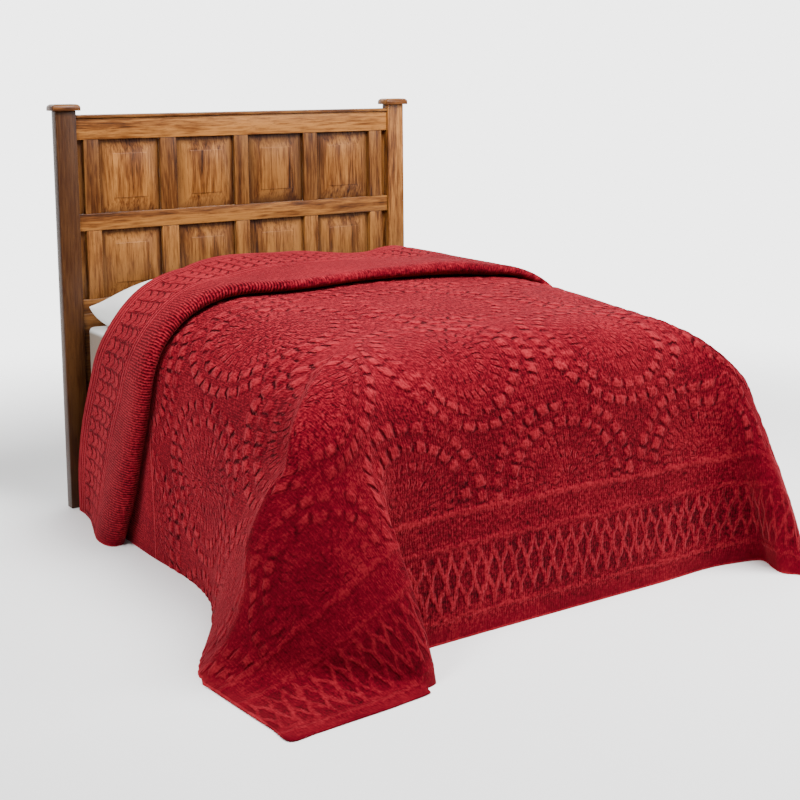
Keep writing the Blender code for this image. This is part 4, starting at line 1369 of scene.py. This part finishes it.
@dataclass(frozen=True)
class Chenille:
    """Tufted cotton chenille: velvety pile in ribs with raised motifs."""

    deep: Shade = (0.020, 0.0001, 0.0016)
    body: Shade = (0.110, 0.0022, 0.0072)
    tips: Shade = (0.270, 0.0150, 0.0225)
    sheen: Shade = (1.0, 0.12, 0.14)
    stops: Shade = (0.0, 0.45, 1.0)  # lightness at which those colours stand
    motifs: Motifs = field(default_factory=Motifs)

    # how far the motifs stray from their places, by which noise
    stray: float = 0.028
    stray_across: Speckle = Speckle(24.0)
    stray_along: Speckle = Speckle(33.0)
    # where they are rubbed flatter, and how much of them stays
    wear: Speckle = Speckle(11.0, 3.0, 0.6)
    worn: Span = (0.36, 0.60)
    kept: float = 0.20
    border_kept: float = 0.6
    gap_kept: float = 0.5

    # the corner flaps, brushed flat: from the middle line out, and down to the foot hem
    flap_out: Span = (0.70, 1.00)
    flap_down: Span = (0.95, 0.65)
    flap_less: Shade = (0.45, 0.30, 0.50)  # how much less the motifs, the border and the pile stand up
    # the top, where the pile's relief is raised and its colour given more contrast, as painted shade and
    # highlight
    crest_up: Span = (1.00, 1.40)
    crest_in: Span = (0.75, 0.50)
    crest_past: float = 0.12               # how far past the motifs it reaches
    crest_more: float = 0.60
    gap_up: Span = (0.80, 1.15)            # where gaps between puffs grow deep, and darker as painted shade, towards the top
    gap_deep: Span = (0.80, 0.45)          # how much deeper, over how deep they all are; they darken the colour as much, as painted shade
    seam: Span = (0.005, 0.024)            # the line that closes the field: past its end, and its width

    # pile
    rib: float = 0.0092              # between ribs
    rib_stray: float = 6.0
    rib_high: Span = (0.05, 0.18)    # everywhere, and more on the roll at the head
    roll_from: Span = (0.385, 0.410)
    roll_to: Span = (0.720, 0.660)
    clump: Speckle = Speckle(78.0, 3.0, 0.70)
    clump_high: float = 0.55
    comb: Speckle = Speckle(1.0, 3.0, 0.70)
    comb_scale: Shade = (230.0, 58.0, 1.0)
    comb_high: float = 0.45
    hem_thin: Span = (0.015, 0.070)  # where the pile thins towards a hem
    hem_kept: float = 0.4
    hem_turn: Span = (0.009, 0.004)  # the turned edge itself, raised in the bump and painted lighter as a painted highlight
    hem_high: float = 0.12

    # what makes it light
    naps: tuple[Speckle, Speckle] = (Speckle(3.2, 3.0, 0.55), Speckle(17.0, 3.0, 0.6))
    by_pile: float = 3.2
    by_tuft: float = 0.42
    # painted shade: how much the gaps between puffs and the border hollows darken the colour
    by_gap: float = 0.62
    by_nap: float = 1.1
    base: float = 0.42
    bumps: Shade = (9.0, 6.0, 7.0)  # height of tufts, gaps and pile in their shading
    bump_unit: float = 0.001

    def pile(self, paint: Paint, sway: Value, brushed: Value) -> Value:
        """The pile.

        Args:
            paint: The material that it is for.
            sway: The noise that its ribs stray by.
            brushed: 1 where it is brushed flat.

        Returns:
            Its height, about 0.5.
        """
        across, along, place = paint.flat_place()
        head, aside = FLAT_LENGTH - along, abs(across)
        high = self.motifs.field[1]
        # On the top the pile's contrast grows, in the bump and as painted shade and highlight in the colour.
        crest = along.fade(*self.crest_up) * along.fade(high + self.crest_past, high)
        crest = crest * aside.fade(*self.crest_in)
        clump = paint.noise(place, self.clump)
        comb = paint.noise(paint.stretched(place, self.comb_scale), self.comb)
        ribs = (across * (2 * math.pi / self.rib) + (sway + clump) * self.rib_stray).cos() * 0.5
        roll = head.fade(*self.roll_from) * head.fade(*self.roll_to)
        hem = along.least(head).least(FLAT_WIDTH / 2 - aside)
        fibres = (comb - 0.5) * self.comb_high + (clump - 0.5) * self.clump_high
        fibres = ribs * (roll * self.rib_high[1] + self.rib_high[0]) + fibres
        pile = fibres * hem.fade(*self.hem_thin).squeezed(self.hem_kept)
        pile = pile * (1.0 - brushed * self.flap_less[2] + crest * self.crest_more) + 0.5
        # The turned edge is raised and painted lighter: a painted highlight along the hem.
        return pile + hem.fade(*self.hem_turn) * self.hem_high

    def relief(self, paint: Paint) -> tuple[Value, Value, Value]:
        """Heights over the sheet, from 0 to 1.

        Args:
            paint: The material that they are for.

        Returns:
            The raised motifs, the gaps between puffs and the hollows of the borders, and the pile; the gaps
            and hollows are also painted shade in the finish.
        """
        across, along, place = paint.flat_place()
        sway = paint.noise(place, self.stray_across)
        u = across + (sway - 0.5) * self.stray
        v = along + (paint.noise(place, self.stray_along) - 0.5) * self.stray
        inside = along.between(self.motifs.field, self.motifs.soft)
        brushed = abs(across).fade(*self.flap_out) * along.fade(*self.flap_down)
        worn = paint.noise(place, self.wear).fade(*self.worn).squeezed(self.kept)
        worn = worn * (1.0 - brushed * self.flap_less[0])
        puffs, between = self.motifs.puffs(u, v)
        foot, hollow = self.motifs.foot_edging(u, v)
        head, gap = self.motifs.head_edging(u, FLAT_LENGTH - along)
        seam = foot.most(along.line(self.motifs.field[1] + self.seam[0], self.seam[1]))
        seam = seam * (worn.squeezed(self.border_kept) - brushed * self.flap_less[1])
        raised = (puffs * inside * worn).most(seam).most(head)
        # Gaps and hollows are dents in the bump and painted shade in the colour; the gaps grow deeper and
        # darker towards the top.
        parted = between * (along.fade(*self.gap_up) * self.gap_deep[0] + self.gap_deep[1])
        dark = (parted * inside * worn).most(hollow.most(gap) * worn.squeezed(self.gap_kept))
        return raised, dark, self.pile(paint, sway, brushed)

    def finish(self) -> bpy.types.Material:
        """Make the material.

        Returns:
            The material.
        """
        paint = Paint("chenille_red")
        raised, dark, pile = self.relief(paint)
        place = paint.flat_place()[2]
        nap = sum(paint.noise(place, speckle) * 0.5 for speckle in self.naps)
        # The gaps and hollows take lightness away as painted shade.
        light = (pile - 0.5) * self.by_pile + raised * self.by_tuft - dark * self.by_gap
        light = light + (nap - 0.5) * self.by_nap + self.base
        colour = paint.ramp(light, tuple(zip(self.stops, (self.deep, self.body, self.tips))))
        paint.set(Base_Color=colour, Roughness=0.95, Sheen_Weight=0.22, Sheen_Roughness=0.35,
                  Sheen_Tint=self.sheen, Specular_IOR_Level=0.03)
        tuft, hole, fur = self.bumps
        paint.bump(raised * tuft - dark * hole + pile * fur, self.bump_unit)
        return paint.material


class Grain(Enum):
    """Which way a board's grain runs."""

    UPRIGHT = "upright"
    LYING = "lying"


@dataclass(frozen=True)
class Timber:
    """Rustic brown hardwood under a soft satin finish."""

    dark: Shade = (0.017, 0.0042, 0.0018)
    body: Shade = (0.130, 0.042, 0.0085)
    light: Shade = (0.330, 0.134, 0.0310)
    stops: Shade = (0.34, 0.45, 0.585)  # tones at which those colours stand
    fume: Span = (1.45, 0.30)           # heights between which the wood is painted darker, going down: painted shade towards the floor
    # how dark that painted shade grows at the floor
    fumed: float = 0.9
    fibre: Span = (9.0, 0.7)            # how fine the grain is across and along
    figure: Speckle = Speckle(1.6, 4.0, 0.55, 0.8)
    streak: Speckle = Speckle(14.0, 3.0, 0.6, 0.3)
    pore: Speckle = Speckle(60.0)
    pore_edge: Span = (0.60, 0.70)
    pore_dark: float = 0.5
    tones: Span = (0.55, 0.45)          # how much of the tone is figure, and how much streaks
    gloss: Span = (0.20, 0.27)          # roughness that the streaks add, and what all of it has
    bumps: Span = (0.6, 0.4)            # how much of its relief is tone, and how much pores
    bump_unit: float = 0.0012

    def finish(self, grain: Grain) -> bpy.types.Material:
        """Make the material for boards whose grain runs one way.

        Args:
            grain: The way it runs.

        Returns:
            The material.
        """
        paint = Paint(f"timber_{grain.value}")
        across, along = self.fibre
        scale = (across, across, along) if grain is Grain.UPRIGHT else (along, across, across)
        place = paint.solid_place()
        own = paint.node("ShaderNodeVectorMath", {"operation": "ADD"},
                         {0: place, 1: paint.attribute("board", "Vector")}).outputs[0]
        long = paint.stretched(own, scale)
        streaks = paint.noise(long, self.streak)
        pores = paint.noise(long, self.pore)
        tone = paint.noise(long, self.figure) * self.tones[0] + streaks * self.tones[1]
        colour = paint.ramp(tone, tuple(zip(self.stops, (self.dark, self.body, self.light))))
        colour = paint.blend(pores.fade(*self.pore_edge) * self.pore_dark, colour, self.dark)
        # The board's stain attribute holds its stain with painted shade, and the wood is painted darker
        # towards the floor as painted shade.
        stain = Value(paint, paint.attribute("stain", "Fac"))
        deep = stain.most(paint.parts(place)[2].fade(*self.fume) * self.fumed)
        colour = paint.blend(deep, colour, self.dark)
        paint.set(Base_Color=colour, Roughness=streaks * self.gloss[0] + self.gloss[1],
                  Specular_IOR_Level=0.20)
        paint.bump(tone * self.bumps[0] + pores * self.bumps[1], self.bump_unit)
        return paint.material


@dataclass(frozen=True)
class PlainCloth:
    """A plain woven cloth."""

    name: str
    colour: Shade
    side: Shade
    level: float              # height above which it has its own colour, not its side's; the darker side colour is a beige side and painted shade
    thread: float
    crumple: float
    edge: float = 0.02        # how softly the one colour turns into the other
    fold: Speckle = Speckle(7.0, 3.0, 0.5, 0.4)
    tones: Span = (0.6, 0.4)  # how much of its unevenness is weave, and how much folds
    uneven: float = 0.2
    bump_unit: float = 0.6

    def finish(self) -> bpy.types.Material:
        """Make the material.

        Returns:
            The material.
        """
        paint = Paint(self.name)
        place = paint.solid_place()
        folds = paint.noise(place, self.fold)
        weave = paint.noise(place, Speckle(1.0 / self.thread))
        # Below the level the cloth takes the darker side colour: painted shade on a beige side.
        low = paint.parts(place)[2].fade(self.level, self.level - self.edge)
        colour = paint.blend(low, self.colour, self.side)
        tone = weave * self.tones[0] + folds * self.tones[1]
        colour = paint.blend(tone * self.uneven, colour, (0.0, 0.0, 0.0))
        paint.set(Base_Color=colour, Roughness=0.9, Sheen_Weight=0.15, Specular_IOR_Level=0.2)
        paint.bump(folds * self.crumple + weave * self.thread, self.bump_unit)
        return paint.material


def dress(obj: Piece, node: str, material: bpy.types.Material) -> None:
    """Give a finished piece its finish, and let it stand for its solid.

    Args:
        obj: The piece.
        node: The solid that it replaces.
        material: Its finish.
    """
    obj.data.materials.clear()
    obj.data.materials.append(material)
    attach(obj, "root")
    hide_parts(node)
    LOG.info("%s: %d faces", obj.name, len(obj.data.polygons))


# ---------------------------------------------------------------- headboard
@dataclass
class Headboard:
    """Post-and-panel headboard: posts with caps, rails, stiles and raised-and-fielded panels."""

    upright: bpy.types.Material
    lying: bpy.types.Material
    gap: float = 1.400
    post: Shade = (0.080, 0.045, 1.540)  # width, depth and height
    slip: float = 0.0003                 # play between two boards
    cap_height: float = 0.025
    cap_over: float = 0.014
    boards: int = 0

    RAILS = (("rail_top", 1.429, 1.5107), ("rail_middle", 1.080, 1.145),
             ("rail_low", 0.760, 0.814), ("rail_base", 0.240, 0.7597))
    STILES = (("stile_1", -0.641, 0.059), ("stile_2", -0.323, 0.070), ("stile_3", -0.003, 0.062),
              ("stile_4", 0.319, 0.064), ("stile_5", 0.641, 0.062))
    LEVELS = (("upper", 1.145, 1.429), ("lower", 0.814, 1.080))
    LEDGE = ((0.002, 0.044), (1.511, 1.524))   # depth and height
    RAIL_DEPTH = (0.010, 0.038)
    STILE_DEPTH = (0.012, 0.038)
    PANEL_DEPTH = (0.030, 0.036)
    TONGUE = (0.030, 0.036)                    # depth of the tongue that an outer stile has
    OUTER = 1.5                                # widths from a post within which a stile is an outer one
    # how a board's edges are rounded over: width, faces
    ROUND = {"post": (0.003, 3), "cap": (0.002, 2), "rail": (0.0025, 3), "ledge": (0.004, 4),
             "stile": (0.002, 3), "panel": (0.0007, 2)}
    # how deeply a board is stained, where it isn't the usual tenth; these values are painted shade and light:
    # darker for shaded boards such as the left post, none for lit ones
    STAIN = {"post_left": 0.86, "cap_left": 0.35, "post_right": 0.0, "rail_top": 0.0, "ledge": 0.35,
             "stile_1_upper": 0.5, "stile_2_upper": 0.4, "stile_3_upper": 0.45, "stile_4_upper": 0.45,
             "stile_5_upper": 0.35, "panel_1_upper": 0.0, "panel_3_upper": 0.30}
    STAIN_USUAL = 0.10
    PANEL_RIM, PANEL_BEVEL, PANEL_PROUD = 0.004, 0.052, 0.0150
    FIELD_STEP, FIELD_PROUD = 0.0006, 0.0020   # the step up to a panel's flat field
    CAP_ROUND, CAP_FACES = 0.014, 5
    GLAZE = 0.55                               # how much darker a panel is painted towards its sunk rim: glaze gathered there and painted shade
    GRAIN_STEP = (0.37, 1.71, 0.83)            # how far apart two boards were cut in the timber

    def add(self, obj: Piece, node: str, kind: str, material: bpy.types.Material) -> None:
        """Round a board over, and give it its timber, its own stretch of grain and its place in the frame.

        Args:
            obj: The board.
            node: The solid that it replaces.
            kind: The kind of board, as in ROUND.
            material: Its timber.
        """
        Bench.soften(obj, *self.ROUND[kind])
        self.boards += 1
        points = obj.data.vertices
        shift = obj.data.attributes.new("board", "FLOAT_VECTOR", "POINT")
        shift.data.foreach_set("vector", [step * self.boards for step in self.GRAIN_STEP] * len(points))
        # The stain attribute carries stain and painted shade: each board's value from the table, and painted
        # shade deepening into a panel's sunk rim.
        stain = obj.data.attributes.new("stain", "FLOAT", "POINT")
        base = self.STAIN.get(node, self.STAIN_USUAL)
        # Panels are painted darker towards their sunk rim: glaze and painted shade.
        glaze_and_shade = self.GLAZE / self.PANEL_PROUD if kind == "panel" else 0.0
        front = HEAD_Y + self.PANEL_DEPTH[0] - self.PANEL_PROUD
        stain.data.foreach_set("value", [base + glaze_and_shade * min(max(v.co.y - front, 0.0), self.PANEL_PROUD)
                                         for v in points])
        dress(obj, node, material)

    def panel(self, node: str, x: Span, z: Span) -> None:
        """A raised-and-fielded panel: a thin rim, a broad sloping bevel and a stepped flat field.

        Args:
            node: The solid that it replaces.
            x: From where to where it reaches across the bed.
            z: Its lowest and highest place.
        """
        front, back = self.PANEL_DEPTH
        obj = Bench.block(f"timber_{node}", (x[0], front, z[0]), (x[1], back, z[1]))
        Bench.pick_faces(obj, lambda face: Bench.facing(face, y=-1.0))
        bpy.ops.mesh.inset(thickness=self.PANEL_RIM)
        bpy.ops.mesh.inset(thickness=self.PANEL_BEVEL)
        bpy.ops.transform.translate(value=(0.0, -self.PANEL_PROUD, 0.0))
        bpy.ops.mesh.inset(thickness=self.FIELD_STEP)
        bpy.ops.transform.translate(value=(0.0, -self.FIELD_PROUD, 0.0))
        Bench.rest()
        self.add(obj, node, "panel", self.upright)

    def stile(self, node: str, centre: float, width: float, z: Span) -> None:
        """An upright board between the panels; an outer one has a thin tongue that runs to its post.

        Args:
            node: The solid that it replaces.
            centre: Its middle across the bed.
            width: Its width.
            z: Its lowest and highest place.
        """
        front, back = self.STILE_DEPTH
        stile = Bench.block(f"timber_{node}", (centre - width / 2, front, z[0]),
                            (centre + width / 2, back, z[1]))
        if abs(centre) > self.gap / 2 - self.OUTER * width:
            outward = math.copysign(1.0, centre)
            Bench.edit(stile)
            for y in self.TONGUE:
                bpy.ops.mesh.select_all(action="SELECT")
                bpy.ops.mesh.bisect(plane_co=(0.0, HEAD_Y + y, 0.0), plane_no=(0.0, 1.0, 0.0))
            Bench.pick_faces(stile, lambda face: Bench.facing(face, x=outward)
                             and self.TONGUE[0] < face.center.y - HEAD_Y < self.TONGUE[1])
            run = self.gap / 2 - self.slip - abs(centre) - width / 2
            bpy.ops.mesh.extrude_region_move(TRANSFORM_OT_translate={"value": (outward * run, 0.0, 0.0)})
            Bench.rest()
        self.add(stile, node, "stile", self.upright)

    def upright_post(self, side: str, sign: int) -> None:
        """A post and its cap.

        Args:
            side: Its name, left or right.
            sign: -1 for the left one, 1 for the right.
        """
        width, depth, height = self.post
        over, top = self.cap_over, height + self.slip
        x = sorted((sign * self.gap / 2, sign * (self.gap / 2 + width)))
        post = Bench.block(f"timber_post_{side}", (x[0], 0.0, 0.0), (x[1], depth, height))
        self.add(post, f"post_{side}", "post", self.upright)
        cap = Bench.block(f"timber_cap_{side}", (x[0] - over, -over, top),
                          (x[1] + over, depth + over, top + self.cap_height))
        Bench.pick_faces(cap, lambda face: Bench.facing(face, z=1.0))
        bpy.ops.mesh.bevel(offset=self.CAP_ROUND, segments=self.CAP_FACES, affect="EDGES")
        Bench.rest()
        self.add(cap, f"cap_{side}", "cap", self.lying)

    def build(self) -> None:
        """Make and dress every board."""
        for side, sign in (("left", -1), ("right", 1)):
            self.upright_post(side, sign)
        reach = self.gap / 2 - self.slip
        across = [(name, "rail", self.RAIL_DEPTH, heights) for name, *heights in self.RAILS]
        for name, kind, (front, back), (bottom, top) in (*across, ("ledge", "ledge", *self.LEDGE)):
            board = Bench.block(f"timber_{name}", (-reach, front, bottom), (reach, back, top))
            self.add(board, name, kind, self.lying)
        for level, low, high in self.LEVELS:
            z = (low + self.slip, high - self.slip)
            for name, centre, width in self.STILES:
                self.stile(f"{name}_{level}", centre, width, z)
            for k, (a, c) in enumerate(zip(self.STILES, self.STILES[1:]), 1):
                x = (a[1] + a[2] / 2 + self.slip, c[1] - c[2] / 2 - self.slip)
                self.panel(f"panel_{k}_{level}", x, z)
        LOG.info("headboard: %d boards", self.boards)


# ---------------------------------------------------------------- what the bedspread lies on
def filled_object(name: str, x: Points, y: Points, top: Points, bottom: Points) -> Piece:
    """A stuffed piece: two grids of points that meet along their rim.

    Args:
        name: The object's name.
        x: Array (row, column) of places across the bed.
        y: The same along it.
        top: Heights of the upper side.
        bottom: Heights of the lower side; its rim is taken from the upper one.

    Returns:
        The closed object.
    """
    rows, cols = x.shape
    upper = np.arange(rows * cols).reshape(rows, cols)
    lower = upper + rows * cols
    lower[[0, -1], :], lower[:, [0, -1]] = upper[[0, -1], :], upper[:, [0, -1]]
    faces = SheetMesh.quads(upper, 1).tolist() + SheetMesh.quads(lower, 1)[:, ::-1].tolist()
    places = np.concatenate([np.stack([x, y, z], axis=-1).reshape(-1, 3) for z in (top, bottom)])
    return cloth_object(name, places, [tidy_face(face) for face in faces], places[:, :2])


@dataclass
class Pillow:
    """A plump pillow in its case, lying flat at the head of the bed."""

    side: str
    left: float
    right: float
    head: float = -0.030
    foot: float = -0.520
    bottom: float = 0.7115
    top: float = 0.925
    seam: float = 0.762
    corner: float = 0.030  # how far the corners stand up
    corner_sharp: int = 6  # how small they are: more is smaller
    pull: float = 0.045    # how far the sides draw in between the corners, as a share
    plump: float = 0.42    # how soon it rises from its seam: less is sooner
    sag: float = 1.9       # how soon its underside is flat
    crease: float = 0.006  # depth of the creases that run in from its corners
    creases: float = 9.0   # how close together they are
    hub: float = 1.02      # where they meet, as a share of the way to the corner
    steps: int = 48

    def build(self) -> Piece:
        """Shape its crown, its drawn-in sides and the creases at its corners.

        Returns:
            The pillow.
        """
        line = np.sin(np.linspace(-math.pi / 2, math.pi / 2, self.steps + 1))
        s, t = np.meshgrid(line, line)
        x = (self.left + self.right) / 2 + (self.right - self.left) / 2 * s * (1 - self.pull * (1 - t**2))
        y = (self.foot + self.head) / 2 + (self.head - self.foot) / 2 * t * (1 - self.pull * (1 - s**2))
        full = ((1 - s**2) * (1 - t**2)) ** self.plump
        seam = self.seam + self.corner * (s * t) ** self.corner_sharp
        fan = np.sin(np.arctan2(self.hub - abs(s), self.hub - abs(t)) * self.creases)
        high = seam + (self.top - self.seam) * full + fan * self.crease * (s * t) ** 2 * full
        low = seam - (self.seam - self.bottom) * np.minimum(1.0, self.sag * full)
        return filled_object(f"pillow_{self.side}_case", x, y, high, np.maximum(low, self.bottom))


@dataclass
class Quilt:
    """The quilt that rounds the bed under the bedspread, sewn in squares."""

    left: float = -0.715
    right: float = 0.755
    head: float = -0.560
    foot: float = -1.915
    bottom: float = 0.7118
    under: float = 0.0085   # below the middle of the bedspread's cloth
    inside: float = 0.022
    channel: float = 0.147  # between seams
    stitch: float = 0.14    # how wide a seam's dip is, as a share of a channel
    dip: float = 0.006
    fall: float = 0.8       # where it starts to fall towards its head, from -1 at the foot to 1
    thin: float = 0.012     # least thickness
    rim: float = 0.03       # how far in it thins towards its rim
    rim_least: float = 0.12
    steps: tuple[int, int] = (100, 92)

    @staticmethod
    def shoulder(share: Points, square: float) -> Points:
        """Height of a rounded shoulder, 1 where it starts and 0 where it has turned down."""
        return np.maximum(0.0, 1.0 - np.clip(share, 0.0, 1.0) ** square) ** (1 / square)

    def build(self) -> Piece:
        """Shape its top after the bedspread, with a dip along every seam.

        Returns:
            The quilt.
        """
        x, y = np.meshgrid(np.linspace(self.left, self.right, self.steps[0] + 1),
                           np.linspace(self.foot, self.head, self.steps[1] + 1))
        side = np.maximum((X_LEFT - x) / (X_LEFT - SIDE_LEFT - self.inside),
                          (x - X_RIGHT) / (SIDE_RIGHT - self.inside - X_RIGHT))
        high = np.where(x < 0, self.shoulder(side, ROUND_LEFT), self.shoulder(side, ROUND_RIGHT))
        high = high * self.shoulder((Y_FOOT - y) / (Y_FOOT - SIDE_FOOT - self.inside), ROUND_FOOT)
        thick = DROP_Z + (crown(x, y) - DROP_Z) * high - self.under - self.bottom
        along = (y - self.foot) / (self.head - self.foot) * 2 - 1
        thick = thick * (0.5 + 0.5 * self.shoulder((along - self.fall) / (1.0 - self.fall), 2.0))
        sewn = np.maximum(*(np.exp(-(np.sin(np.pi * p / self.channel) / self.stitch) ** 2) for p in (x, y)))
        rim = np.minimum(np.minimum(x - self.left, self.right - x), np.minimum(y - self.foot, self.head - y))
        thin = np.clip(rim / self.rim, self.rim_least, 1.0) ** 0.5
        top = self.bottom + np.maximum(thick - self.dip * sewn, self.thin) * thin
        return filled_object("quilt_sewn", x, y, top, np.full_like(top, self.bottom))


@dataclass
class Bed:
    """Mattress in its fitted sheet, box base and its feet."""

    width: float = 1.386
    head: float = -0.004
    foot: float = -1.921
    bottom: float = 0.503
    top: float = 0.7113
    bulge: float = 0.004      # how far the mattress's sides stand out
    bulge_in: float = 0.095   # how far from their edges
    base_width: float = 1.330
    base_head: float = 0.0097
    base_foot: float = -1.880
    base_bottom: float = 0.200
    base_edge: float = 0.014  # width of the base's edges
    base_sunk: float = 0.002  # how far its cloth lies behind them
    foot_size: float = 0.060
    foot_inset: float = 0.040
    foot_taper: float = 0.72
    slip: float = 0.0003

    # how edges are rounded over: width, faces
    ROUND = {"mattress": (0.016, 6), "base": (0.005, 4), "foot": (0.004, 3)}

    @staticmethod
    def covered(name: str, low: Sequence[float], high: Sequence[float], edge: float,
                out: float) -> Piece:
        """A block with a cover stretched over its sides.

        Args:
            name: The new object's name.
            low: Lowest corner.
            high: Highest corner.
            edge: How far from a side's edges the cover leaves the block's shape.
            out: How far it stands out there; less than nothing is in.

        Returns:
            The block, its edges still sharp.
        """
        block = Bench.block(name, low, high)
        Bench.pick_faces(block, lambda face: not (Bench.facing(face, z=1.0) or Bench.facing(face, z=-1.0)))
        bpy.ops.mesh.inset(thickness=edge, use_individual=True)
        bpy.ops.transform.shrink_fatten(value=out)
        return block

    def mattress(self) -> Piece:
        """The mattress, whose sides bulge a little under a tight sheet.

        Returns:
            The mattress.
        """
        half, bulge = self.width / 2 - self.bulge, self.bulge
        block = self.covered("mattress_sheet", (-half, self.foot + bulge, self.bottom),
                             (half, self.head - bulge, self.top), self.bulge_in, bulge)
        Bench.soften(block, *self.ROUND["mattress"])
        return block

    def base(self) -> Piece:
        """The box base, its cloth stretched between edges that stand a little proud.

        Returns:
            The base.
        """
        half = self.base_width / 2
        block = self.covered("box_base_cloth", (-half, self.base_foot, self.base_bottom),
                             (half, self.base_head, self.bottom - self.slip), self.base_edge, -self.base_sunk)
        Bench.soften(block, *self.ROUND["base"])
        return block

    def leg(self, number: int, x: float, y: float) -> Piece:
        """One square foot, tapered towards the floor.

        Args:
            number: Its number.
            x: Its middle across the bed.
            y: Its middle along it.

        Returns:
            The foot.
        """
        half = self.foot_size / 2
        leg = Bench.block(f"base_leg_{number}", (x - half, y - half, 0.0),
                          (x + half, y + half, self.base_bottom - self.slip))
        Bench.pick_faces(leg, lambda face: Bench.facing(face, z=-1.0))
        bpy.ops.transform.resize(value=(self.foot_taper, self.foot_taper, 1.0))
        Bench.soften(leg, *self.ROUND["foot"])
        return leg

    def legs(self) -> list[Piece]:
        """All four feet.

        Returns:
            The feet of the left side, from the head, and then the right.
        """
        inset = self.foot_inset + self.foot_size / 2
        reach = self.base_width / 2 - inset
        ends = (self.base_head - inset, self.base_foot + inset)
        spots = [(sign * reach, y) for sign in (-1, 1) for y in ends]
        return [self.leg(number, x, y) for number, (x, y) in enumerate(spots, 1)]


def make_bed() -> None:
    """Build and dress the bed under the bedspread."""
    # The mattress's sides below the level are painted darker and warmer: painted shade on a beige side.
    white = PlainCloth("white_percale", (0.80, 0.80, 0.78), side=(0.22, 0.165, 0.12), level=0.706,
                       thread=0.0006, crumple=0.012).finish()
    ticking = (0.030, 0.025, 0.023)
    dark = PlainCloth("dark_ticking", ticking, side=ticking, level=0.0, thread=0.0010, crumple=0.002).finish()
    bed = Bed()
    mattress = bed.mattress()
    dress(mattress, "mattress", white)
    dress(bed.base(), "box_base", dark)
    for number, leg in enumerate(bed.legs(), 1):
        dress(leg, f"base_foot_{number}", dark)
    quilt = Quilt().build()
    dress(quilt, "quilt", white)
    for pillow in (Pillow("left", -0.690, -0.012), Pillow("right", 0.008, 0.676)):
        piece = pillow.build()
        dress(piece, f"pillow_{pillow.side}", white)


# ---------------------------------------------------------------- the room for the picture
@dataclass
class Studio:
    """A plain pale floor, soft lights and the camera."""

    lens: float = 66.1
    place: Shade = (-2.777, -5.384, 1.703)
    yaw: float = 35.81
    pitch: float = -8.28
    roll: float = -0.14
    shift: Span = (-0.08, -0.15)
    pale: Shade = (0.90, 0.90, 0.90)
    reach: Span = (2.0, 4.6)   # from where the floor fades out, and to where
    sunk: float = 0.0005       # how far it lies below the feet
    dim: float = 0.30          # how bright the surround is on the viewer's side
    bright: float = 4.0        # and beyond the bed
    glow: Span = (0.25, 0.90)  # how far towards the bed it turns from one to the other

    # name, place, aim, side in metres, watts, how wide the beam opens in degrees
    LIGHTS = (("high", (0.6, -1.6, 4.6), (0.0, -0.2, 0.6), 2.2, 500.0, 180.0),
              ("left", (-3.6, -1.2, 3.6), (-0.5, 0.1, 0.85), 1.8, 34.0, 50.0),
              ("right", (2.8, -2.6, 3.0), (0.0, 1.0, 1.3), 1.6, 110.0, 180.0))

    def floor(self) -> None:
        """A pale floor round the bed that fades into the white of the studio."""
        Bench.clear()
        bpy.ops.mesh.primitive_circle_add(vertices=96, radius=self.reach[1], fill_type="NGON",
                                          location=(0.0, 0.0, -self.sunk))
        floor = bpy.context.object
        floor.name = "pale_floor"
        paint = Paint("pale_floor")
        far = paint.node("ShaderNodeVectorMath", {"operation": "LENGTH"}, {0: paint.solid_place()})
        paint.set(Base_Color=self.pale, Roughness=0.9,
                  Alpha=Value(paint, far.outputs["Value"]).fade(*self.reach[::-1]))
        floor.data.materials.append(paint.material)

    @staticmethod
    def light(name: str, place: Sequence[float], aim: Sequence[float], size: float, power: float,
              beam: float) -> None:
        """A square soft light.

        Args:
            name: The light's name.
            place: Where it hangs.
            aim: Where it points.
            size: Its side in metres.
            power: Its power in watts.
            beam: How wide its beam opens, in degrees.
        """
        data = bpy.data.lights.new(name, "AREA")
        data.size, data.energy, data.spread = size, power, math.radians(beam)
        lamp = bpy.data.objects.new(name, data)
        bpy.context.scene.collection.objects.link(lamp)
        lamp.location = place
        lamp.rotation_euler = (Vector(aim) - Vector(place)).to_track_quat("-Z", "Y").to_euler()

    def camera(self) -> None:
        """The camera at its viewing place."""
        data = bpy.data.cameras.new("view")
        data.sensor_width, data.lens = 36.0, self.lens
        data.shift_x, data.shift_y = self.shift
        camera = bpy.data.objects.new("view", data)
        bpy.context.scene.collection.objects.link(camera)
        camera.location = (self.place[0] + BED_X, self.place[1] + HEAD_Y, self.place[2])
        camera.rotation_euler = [math.radians(a) for a in (90 + self.pitch, -self.roll, -self.yaw)]
        bpy.context.scene.camera = camera

    def surround(self) -> None:
        """A white studio, brightest beyond the head of the bed and dimmer on the viewer's side."""
        world = bpy.data.worlds.new("surround")
        world.use_nodes = True
        room = Nodes(world.node_tree)
        yaw = math.radians(self.yaw)
        place = room.node("ShaderNodeTexCoord", {}, {}).outputs["Generated"]
        toward = room.node("ShaderNodeVectorMath", {"operation": "DOT_PRODUCT"},
                           {0: place, 1: (math.sin(yaw), math.cos(yaw), 0.0)}).outputs["Value"]
        glow = Value(room, toward).fade(*self.glow, (self.dim, self.bright))
        background = room.tree.nodes["Background"].inputs
        room.feed(background["Color"], (1.0, 1.0, 1.0))
        room.feed(background["Strength"], glow)
        bpy.context.scene.world = world

    def build(self) -> None:
        """Put up the floor, the lights, the pale surround and the camera."""
        self.floor()
        for light in self.LIGHTS:
            self.light(*light)
        self.surround()
        self.camera()


def main() -> None:
    """Build and dress every piece, then the room."""
    logging.basicConfig(level=logging.INFO, format="%(message)s")
    spread = Bedspread().build()
    dress(spread, "bedspread", Chenille().finish())
    make_bed()
    Headboard(Timber().finish(Grain.UPRIGHT), Timber().finish(Grain.LYING)).build()
    Studio().build()


if __name__ == "__main__":
    main()
